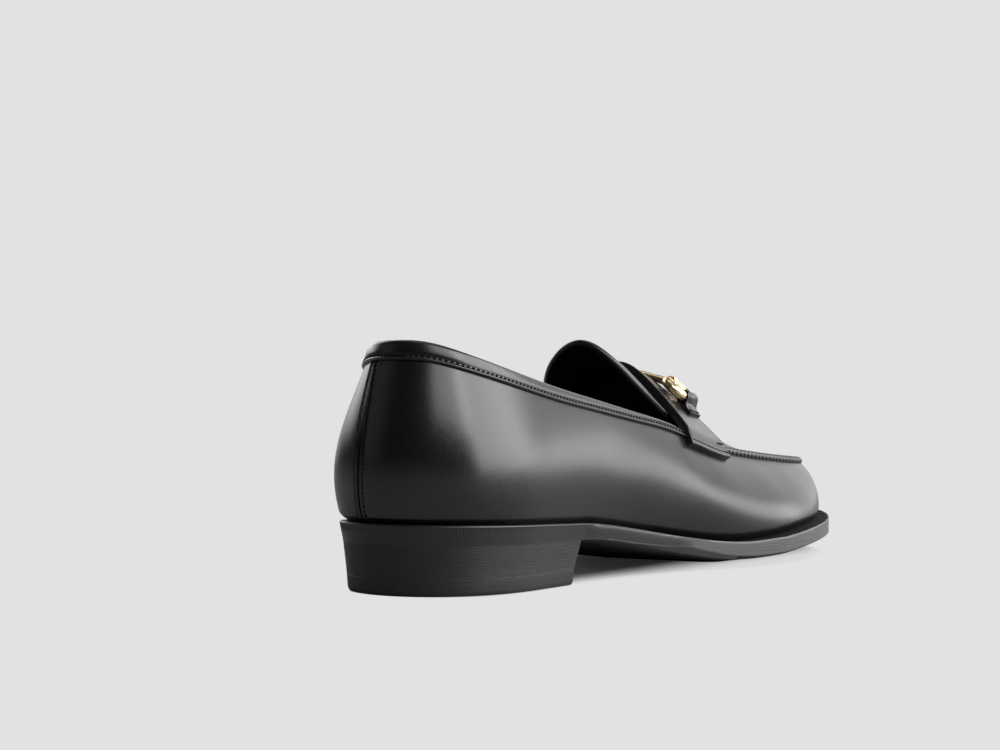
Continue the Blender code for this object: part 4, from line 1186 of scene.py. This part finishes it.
def sole_rows(places):
    """Rows from inside the upper over the welt, down the edge and under it to the tread."""
    part = section(places)
    out = outward_normals(places)
    edge_x = part.edge[:, 0]
    knurl, wheel = edge_marks(places, edge_x)
    inner = edge_plan(places, part.margin + FEATHER_TUCK + WELT_UNDER_WALL)
    rows = [np.column_stack([inner, sole_top(places, inner) + GAP + part.welt - wheel])]
    seat = 1 - smooth_step(edge_x, BREAST_X, SEAT_ENDS_X)
    forepart = smooth_step(edge_x, FOREPART_FROM_X, FOREPART_TO_X)
    arris = read_table(edge_x, ARRIS)
    lines = [(row, arris * row.down) for row in EDGE_FACE]
    lines += [(row, arris + (1 - arris) * row.down) for row in EDGE_BEVEL]
    for row, drop in lines:
        ahead = row.waist * part.undercut * (1 - forepart) + row.forepart * forepart
        inset = row.seat * seat + ahead * (1 - seat)
        plan = edge_plan(places, inset)
        top = sole_top(places, plan) + GAP + part.welt
        bottom = sole_top(places, plan) - OUTSOLE_THICKNESS
        height = top + (bottom - top) * drop
        if row is EDGE_FACE[0]:
            height = height - wheel
        cut = knurl * smooth_step(drop, *KNURL_TOP) * (1 - smooth_step(drop, *KNURL_FOOT))
        rows.append(np.column_stack([plan - out * cut[:, None], height]))
    border = read_table(edge_x, TREAD_BORDER)
    fall = part.rise * smooth_step(edge_x, *TREAD_MEETS_FLOOR_X)
    for share in TREAD_BORDER_ROWS:
        plan = edge_plan(places, inset + (border - inset) * share)
        rows.append(np.column_stack([plan, tread_height(plan[:, 0]) + part.rise - fall * share]))
    return np.array(rows)


def make_sole():
    """Outsole and welt as one trimmed and waxed edge, wheeled on the welt and knurled round the seat."""
    places = column_places(SOLE_COLUMNS)
    grid = closed_columns(with_spines(sole_rows(places)))
    piece = grid_piece("sole_and_welt", grid)
    for made in (waxed_edge(), dark_welt_and_painted_shade(), leather_tread()):
        piece.data.materials.append(made)
    bevel_from = len(EDGE_FACE) + 2
    tread_from = bevel_from + len(EDGE_BEVEL)
    row_of = np.arange(len(piece.data.polygons)) // len(places)
    ahead = np.tile(np.roll(section(places).edge[:, 0], -1) > BEVEL_PAINTED_SHADE_FROM_X, len(grid) - 1)
    # Welt rows and, towards the toe, bevel rows take the dark material with painted shade; tread rows take
    # the tread
    welt_and_painted_shade_rows = (row_of < WELT_ROWS) | (row_of >= bevel_from) & ahead
    kind = np.where(row_of >= tread_from, 2, np.where(welt_and_painted_shade_rows, 1, 0))
    piece.data.polygons.foreach_set("material_index", kind)
    finish_piece(close_up(piece), [], ["outsole", "welt"], crease=30.0)


def heel_ring(inset, breast_x, drop, floor):
    """The sole's edge behind the breast, moved in, closed by the breast and let down to a floor."""
    lateral = edge_plan(np.linspace(0.0, place_at(breast_x, -1), 120), inset)
    medial = edge_plan(np.linspace(place_at(breast_x, 1), 0.0, 120), inset)[:-1]
    plan = np.vstack([lateral, medial])
    return np.column_stack([plan, tread_height(plan[:, 0]) * (1 - drop) + floor * drop])


def make_heel():
    """Stacked heel, filed flush with the seat, and the rubber top piece under it."""
    look = finish_values()
    stack = []
    for drop in np.linspace(0.0, 1.0, 41):
        breast = BREAST_X - BREAST_RAKE * drop
        stack.append(heel_ring(heel_inset(drop), breast, drop, TOP_PIECE_THICKNESS))
    base = HEEL_PROFILE[-1][1]
    tip = [heel_ring(base + inset, breast - inset, 1.0, height) for height, inset in TOP_PIECE_PROFILE]
    waxed = filed_heel("waxed_heel", look.heel_colour)
    rubber = filed_heel("rubber_top_piece", look.top_piece_colour)
    for name, rows, slot, made, node in (
        ("heel_lifts", stack, "heel_stack", waxed, "heel_stack"),
        ("heel_top_piece", tip, "heel_top_piece", rubber, "top_piece"),
    ):
        piece = close_up(grid_piece(name, closed_columns(np.array(rows))), fill=True)
        finish_piece(piece, [made], [node], crease=35.0)


def make_insole():
    """Sock over the insole, with a softly rounded edge."""
    places = column_places(SOCK_COLUMNS)
    inset = section(places).margin + UPPER_WALL + INSOLE_CLEARANCE
    rows = []
    for step, height in SOCK_PROFILE:
        plan = edge_plan(places, inset + step)
        rows.append(np.column_stack([plan, sole_top(places, plan) + GAP + height]))
    piece = close_up(grid_piece("sock", closed_columns(with_spines(np.array(rows)))))
    finish_piece(piece, [lining()], ["insole"], crease=50.0)


def sew(name, points, outs, pitch, slant=0.0):
    """Row of stitches along a line of points, evenly spaced, slanted in the leather by an angle."""
    detail = bpy.context.scene.loafer_detail
    run = run_along(points)
    run_at = np.arange(pitch / 2, run[-1], pitch)

    def read(places, values):
        return np.column_stack([np.interp(places, run, column) for column in values.T])

    normals = read(run_at, outs)
    alongs = unit(read(run_at + 0.2, points) - read(run_at - 0.2, points))
    alongs = alongs * math.cos(slant) + np.cross(normals, alongs) * math.sin(slant)
    width = detail.stitch_width / MM
    piece = stitch_row(name, read(run_at, points), alongs, normals, STITCH_SHARE * pitch, width)
    finish_piece(piece, [thread()])


def back_line(side):
    """Points and outward vectors of the row on one side of the back seam."""
    points = []
    normals = []
    for level in np.linspace(*BACK_STITCH_RUN, 200):
        centre = back_seam_place(np.array([level]))
        at = centre - side * BACK_SEAM_ROW / wall_frame(centre, [level]).stretch[0, 0]
        normals.append(wall_frame(at, [level]).out[0, 0])
        points.append(wall_points(at, [level])[0, 0] - normals[-1] * BACK_STITCH_SINK)
    return np.array(points), np.array(normals)


def strap_line(side):
    """Points and outward vectors of the short row at one front corner of the strap."""
    across = np.array([side * STRAP_STITCH_SHARE])
    plans = [strap_plan(across, share) for share in np.linspace(*STRAP_STITCH_RUN, 20)]
    points = np.array([instep_points(x, y, STRAP_STITCH_LIFT)[0] for x, y in plans])
    return points, instep_normal(points[:, 0], points[:, 1])


def loop_line(side):
    """Points and outward vectors of the row across the tail of one loop."""
    seat = bit_frame(side, RING_BEND_RADIUS)
    over = strap_face(side, [LOOP_STITCH_AT])[0] + LOOP_STITCH_LIFT
    half = LOOP_TAIL_WIDTH / 2 - LOOP_STITCH_MARGIN
    points = np.array([seat @ Vector((x, LOOP_STITCH_AT, over)) for x in np.linspace(-half, half, 12)])
    return points, np.tile(np.array(seat.to_3x3() @ Vector(UP)), (len(points), 1))


def make_stitches():
    """Rows on the collar band, both sides of the back seam, the strap's corners and the loops' tails."""
    detail = bpy.context.scene.loafer_detail
    places = band_places(BAND_STITCH_STEPS)
    points, wall = off_wall(places, [band_depth(places) - BAND_STITCH_HEIGHT], [BAND_STITCH_STAND])
    sew("band_stitches", points[0], wall.out[0], detail.band_pitch / MM, BAND_SLANT)
    lines = (("back", back_line, BACK_SLANT), ("strap", strap_line, 0.0), ("loop", loop_line, 0.0))
    for row, line, slant in lines:
        for side, name in SIDES.items():
            sew(f"{row}_stitches_{name}", *line(side), detail.stitch_pitch / MM, slant * side)


CAMERA_AT = (-1064.03, -657.04, 107.0)
CAMERA_LOOKS = (0.8660254, 0.5)
CAMERA_PITCH = 1.5526
CAMERA_LENS = 136.8
CAMERA_SENSOR = 36.0

FLOOR_SIZE = 30.0
FLOOR_DROP = 0.0002
FLOOR_BOUNCE = 0.31
# The shadow under the arch is painted: full at one distance from the long axis and faded out at the other,
# on the side that faces the softboxes. It deepens as less of the room is open to the floor within a reach.
SHADOW_FULL_Y = -6.0
SHADOW_END_Y = -40.0
SHADOW_REACH = 0.09
SHADOW_OPENNESS = (0.02, 0.45)
SHADOW_TONES = (0.9, 0.02)

SOFTBOX_TINT = (0.995, 0.99, 1.02)
# Softboxes: middle on the last, the point they face, width, height, radiance and the turn of the frame,
# in degrees anticlockwise as seen from the shoe
Softbox = namedtuple("Softbox", "name at aim width height radiance turn")
SOFTBOXES = [
    Softbox("side_softbox", (436.0, -930.0, 520.0), (130.0, 0.0, 40.0), 1300.0, 960.0, 6.8, 0.0),
    Softbox("rear_softbox", (-330.0, -690.0, 800.0), (20.0, -20.0, 60.0), 900.0, 560.0, 5.0, 18.0),
    Softbox("low_softbox", (1072.0, -535.0, 145.0), (200.0, -45.0, 25.0), 520.0, 250.0, 3.4, 0.0),
    Softbox("front_softbox", (1400.0, -150.0, 450.0), (200.0, 0.0, 40.0), 900.0, 900.0, 1.4, 0.0),
    Softbox("backdrop", (1700.0, 1250.0, 600.0), (150.0, 0.0, 40.0), 2200.0, 1300.0, 0.75, 0.0),
    Softbox("top_softbox", (300.0, 100.0, 1300.0), (150.0, 0.0, 40.0), 900.0, 900.0, 0.9, 0.0),
    Softbox("rim_softbox", (-600.0, 900.0, 420.0), (60.0, 0.0, 40.0), 700.0, 700.0, 0.25, 0.0),
    Softbox("medial_softbox", (620.0, 1000.0, 560.0), (130.0, 0.0, 40.0), 1000.0, 760.0, 2.2, 0.0),
]


def make_softbox(box, power):
    lamp = bpy.data.lights.new(box.name, "AREA")
    lamp.shape = "RECTANGLE"
    lamp.size = box.width * MM
    lamp.size_y = box.height * MM
    lamp.energy = power * box.radiance * math.pi * lamp.size * lamp.size_y
    lamp.color = SOFTBOX_TINT
    made = bpy.data.objects.new(box.name, lamp)
    bpy.context.collection.objects.link(made)
    made.location = in_frame(box.at)
    toward = Vector(in_frame(box.aim)) - Vector(in_frame(box.at))
    turn = Matrix.Rotation(-math.radians(box.turn), 3, "Z")
    made.rotation_euler = (toward.to_track_quat("-Z", "Y").to_matrix() @ turn).to_euler()
    made.visible_camera = False


def make_floor(tone):
    """Floor that is an even paper tone to the camera, with painted shadow only where the shoe hides it from
    the room.
    """
    floor = add_primitive(bpy.ops.mesh.primitive_plane_add, "studio_floor", size=FLOOR_SIZE)
    floor.location.z = -FLOOR_DROP
    made = new_material("paper_floor")[0]
    tree = made.node_tree
    tree.nodes.remove(tree.nodes["Principled BSDF"])
    reach = {"Distance": SHADOW_REACH}
    hidden = add_node(tree, "ShaderNodeAmbientOcclusion", reach, samples=16).outputs["AO"]
    faded, full = (share * tone for share in SHADOW_TONES)
    darkest = place_ramp(tree, "Y", SHADOW_END_Y, SHADOW_FULL_Y, faded, full)
    paper = soft_ramp(tree, hidden, *SHADOW_OPENNESS, darkest, tone)
    shown = add_node(tree, "ShaderNodeEmission", {"Strength": paper}).outputs["Emission"]
    bounce = (FLOOR_BOUNCE, FLOOR_BOUNCE, FLOOR_BOUNCE, 1.0)
    lit = add_node(tree, "ShaderNodeBsdfDiffuse", {"Color": bounce}).outputs["BSDF"]
    seen = add_node(tree, "ShaderNodeLightPath").outputs["Is Camera Ray"]
    mix = add_node(tree, "ShaderNodeMixShader", {"Fac": seen, 1: lit, 2: shown})
    tree.links.new(mix.outputs["Shader"], tree.nodes["Material Output"].inputs["Surface"])
    floor.data.materials.append(made)


def make_room(tone, fill):
    """World that is the same paper tone to the camera and a dim room to everything else."""
    world = bpy.data.worlds.new("studio_room")
    bpy.context.scene.world = world
    world.use_nodes = True
    tree = world.node_tree
    ground = tree.nodes["Background"]
    ground.inputs["Color"].default_value = (1.0, 1.0, 1.0, 1.0)
    seen = add_node(tree, "ShaderNodeLightPath").outputs["Is Camera Ray"]
    strength = add_node(tree, "ShaderNodeMapRange", {"Value": seen, "To Min": fill, "To Max": tone})
    tree.links.new(strength.outputs["Result"], ground.inputs["Strength"])


def make_camera():
    lens = bpy.data.cameras.new("photo_camera")
    lens.lens = CAMERA_LENS
    lens.sensor_width = CAMERA_SENSOR
    lens.clip_start = 0.05
    made = bpy.data.objects.new("photo_camera", lens)
    bpy.context.collection.objects.link(made)
    made.location = in_frame(CAMERA_AT)
    pitch = math.radians(CAMERA_PITCH)
    level = math.cos(pitch)
    looks = Vector((CAMERA_LOOKS[0] * level, CAMERA_LOOKS[1] * level, -math.sin(pitch)))
    made.rotation_euler = looks.to_track_quat("-Z", "Y").to_euler()
    bpy.context.scene.camera = made


def colour_value(name, about, default):
    return bpy.props.FloatVectorProperty(name=name, description=about, subtype="COLOR", default=default)


def size_value(name, about, default):
    return bpy.props.FloatProperty(name=name, description=about, unit="LENGTH", default=default)


def plain_value(name, about, default, least, most):
    return bpy.props.FloatProperty(name=name, description=about, default=default, min=least, max=most)


class LoaferFinish(bpy.types.PropertyGroup):
    """Colours and sheen of the shoe's materials."""

    calf_colour: colour_value("Calf", "Colour of the upper", (0.004, 0.004, 0.0045))
    calf_roughness: plain_value("Calf roughness", "How soft the calf's reflections are", 0.3, 0.1, 0.9)
    lining_colour: colour_value("Lining", "Colour of the lining and sock", (0.03, 0.03, 0.03))
    edge_colour: colour_value("Sole edge", "Colour of the waxed edge", (0.045, 0.045, 0.046))
    edge_roughness: plain_value("Edge roughness", "How soft the edge's reflections are", 0.36, 0.1, 0.9)
    # Dark colour of the welt, the forepart's bevel and the tread under the waist: partly the welt's own
    # black finish, partly painted shade
    welt_and_painted_shade_colour: colour_value("Bevel", "Colour of the bevel and welt", (0.006, 0.006, 0.006))
    tread_colour: colour_value("Tread", "Colour of the sole's underside", (0.03, 0.029, 0.028))
    heel_colour: colour_value("Heel", "Colour of the stacked heel", (0.01, 0.01, 0.01))
    heel_roughness: plain_value("Heel roughness", "How soft the heel's reflections are", 0.48, 0.1, 0.9)
    top_piece_colour: colour_value("Top piece", "Colour of the rubber top piece", (0.01, 0.01, 0.01))
    brass_colour: colour_value("Brass", "Colour of the bit", (0.83, 0.66, 0.36))
    brass_roughness: plain_value("Brass roughness", "How soft the bit's reflections are", 0.27, 0.05, 0.9)
    thread_colour: colour_value("Thread", "Colour of the stitches", (0.002, 0.002, 0.002))


class LoaferDetail(bpy.types.PropertyGroup):
    """Sizes of the stitching and of the marks on the sole's edge."""

    stitch_pitch: size_value("Stitch pitch", "From one stitch to the next", 0.0016)
    band_pitch: size_value("Band stitch pitch", "From one stitch of the collar band to the next", 0.002)
    stitch_width: size_value("Thread width", "Thickness of the thread", 0.0007)
    seam_pitch: size_value("Apron stitch pitch", "From one pucker to the next", 0.0033)
    seam_radius: size_value("Apron bead", "Radius of the apron seam's bead", 0.00145)
    wheel_pitch: size_value("Wheel pitch", "Between the wheel marks on the welt", 0.0016)
    knurl_pitch: size_value("Knurl pitch", "Between the marks round the heel seat", 0.00105)


class LoaferStage(bpy.types.PropertyGroup):
    """Backdrop and light of the studio."""

    paper_tone: plain_value("Paper", "Linear tone of the backdrop", 0.7605, 0.0, 1.0)
    room_fill: plain_value("Room", "Light of the room outside the softboxes", 0.02, 0.0, 1.0)
    light_power: plain_value("Light", "Share of the softboxes' full light", 1.0, 0.0, 4.0)


class LOAFER_OT_upper(bpy.types.Operator):
    """Build the upper, its apron seam and the collar band"""

    bl_idname = "loafer.upper"
    bl_label = "Upper"
    bl_options = {"REGISTER", "UNDO"}

    def execute(self, context):
        make_upper()
        make_apron_seam()
        make_collar_band()
        return {"FINISHED"}


class LOAFER_OT_instep(bpy.types.Operator):
    """Build the tongue and the saddle strap"""

    bl_idname = "loafer.instep"
    bl_label = "Tongue and strap"
    bl_options = {"REGISTER", "UNDO"}

    def execute(self, context):
        make_tongue()
        make_saddle_strap()
        return {"FINISHED"}


class LOAFER_OT_bit(bpy.types.Operator):
    """Build the brass rings and bar and the leather loops that hold them"""

    bl_idname = "loafer.bit"
    bl_label = "Snaffle bit"
    bl_options = {"REGISTER", "UNDO"}

    def execute(self, context):
        for side, name in SIDES.items():
            make_bit_ring(side, f"ring_{name}", f"bit_ring_{name}")
            make_bit_loop(side, f"loop_{name}", f"bit_loop_{name}")
        make_bit_bar()
        return {"FINISHED"}


class LOAFER_OT_bottom(bpy.types.Operator):
    """Build the sole, the heel and the sock"""

    bl_idname = "loafer.bottom"
    bl_label = "Sole and heel"
    bl_options = {"REGISTER", "UNDO"}

    def execute(self, context):
        make_sole()
        make_heel()
        make_insole()
        return {"FINISHED"}


class LOAFER_OT_stitches(bpy.types.Operator):
    """Sew the rows of stitches"""

    bl_idname = "loafer.stitches"
    bl_label = "Stitches"
    bl_options = {"REGISTER", "UNDO"}

    def execute(self, context):
        make_stitches()
        return {"FINISHED"}


class LOAFER_OT_stage(bpy.types.Operator):
    """Set up the floor, the room, the softboxes and the camera"""

    bl_idname = "loafer.stage"
    bl_label = "Studio stage"
    bl_options = {"REGISTER", "UNDO"}

    def execute(self, context):
        stage = context.scene.loafer_stage
        context.scene.view_settings.view_transform = "Standard"
        make_floor(stage.paper_tone)
        make_room(stage.paper_tone, stage.room_fill)
        for box in SOFTBOXES:
            make_softbox(box, stage.light_power)
        make_camera()
        return {"FINISHED"}


class LOAFER_PT_panel(bpy.types.Panel):
    """Values and building steps of the loafer"""

    bl_label = "Loafer"
    bl_idname = "LOAFER_PT_panel"
    bl_space_type = "VIEW_3D"
    bl_region_type = "UI"
    bl_category = "Loafer"

    def draw(self, context):
        scene = context.scene
        for group in (scene.loafer_finish, scene.loafer_detail, scene.loafer_stage):
            box = self.layout.box()
            for key in group.bl_rna.properties.keys():
                if key not in ("rna_type", "name"):
                    box.prop(group, key)
        for step in STEPS:
            self.layout.operator(step.bl_idname)


GROUPS = {"loafer_finish": LoaferFinish, "loafer_detail": LoaferDetail, "loafer_stage": LoaferStage}
STEPS = (
    LOAFER_OT_upper, LOAFER_OT_instep, LOAFER_OT_bit, LOAFER_OT_bottom, LOAFER_OT_stitches, LOAFER_OT_stage,
)


def register():
    for cls in (*GROUPS.values(), *STEPS, LOAFER_PT_panel):
        bpy.utils.register_class(cls)
    for name, cls in GROUPS.items():
        setattr(bpy.types.Scene, name, bpy.props.PointerProperty(type=cls))


def unregister():
    for name in GROUPS:
        delattr(bpy.types.Scene, name)
    for cls in reversed((*GROUPS.values(), *STEPS, LOAFER_PT_panel)):
        bpy.utils.unregister_class(cls)


def main():
    register()
    bpy.ops.loafer.upper()
    bpy.ops.loafer.instep()
    bpy.ops.loafer.bit()
    bpy.ops.loafer.bottom()
    bpy.ops.loafer.stitches()
    bpy.ops.loafer.stage()


if __name__ == "__main__":
    main()
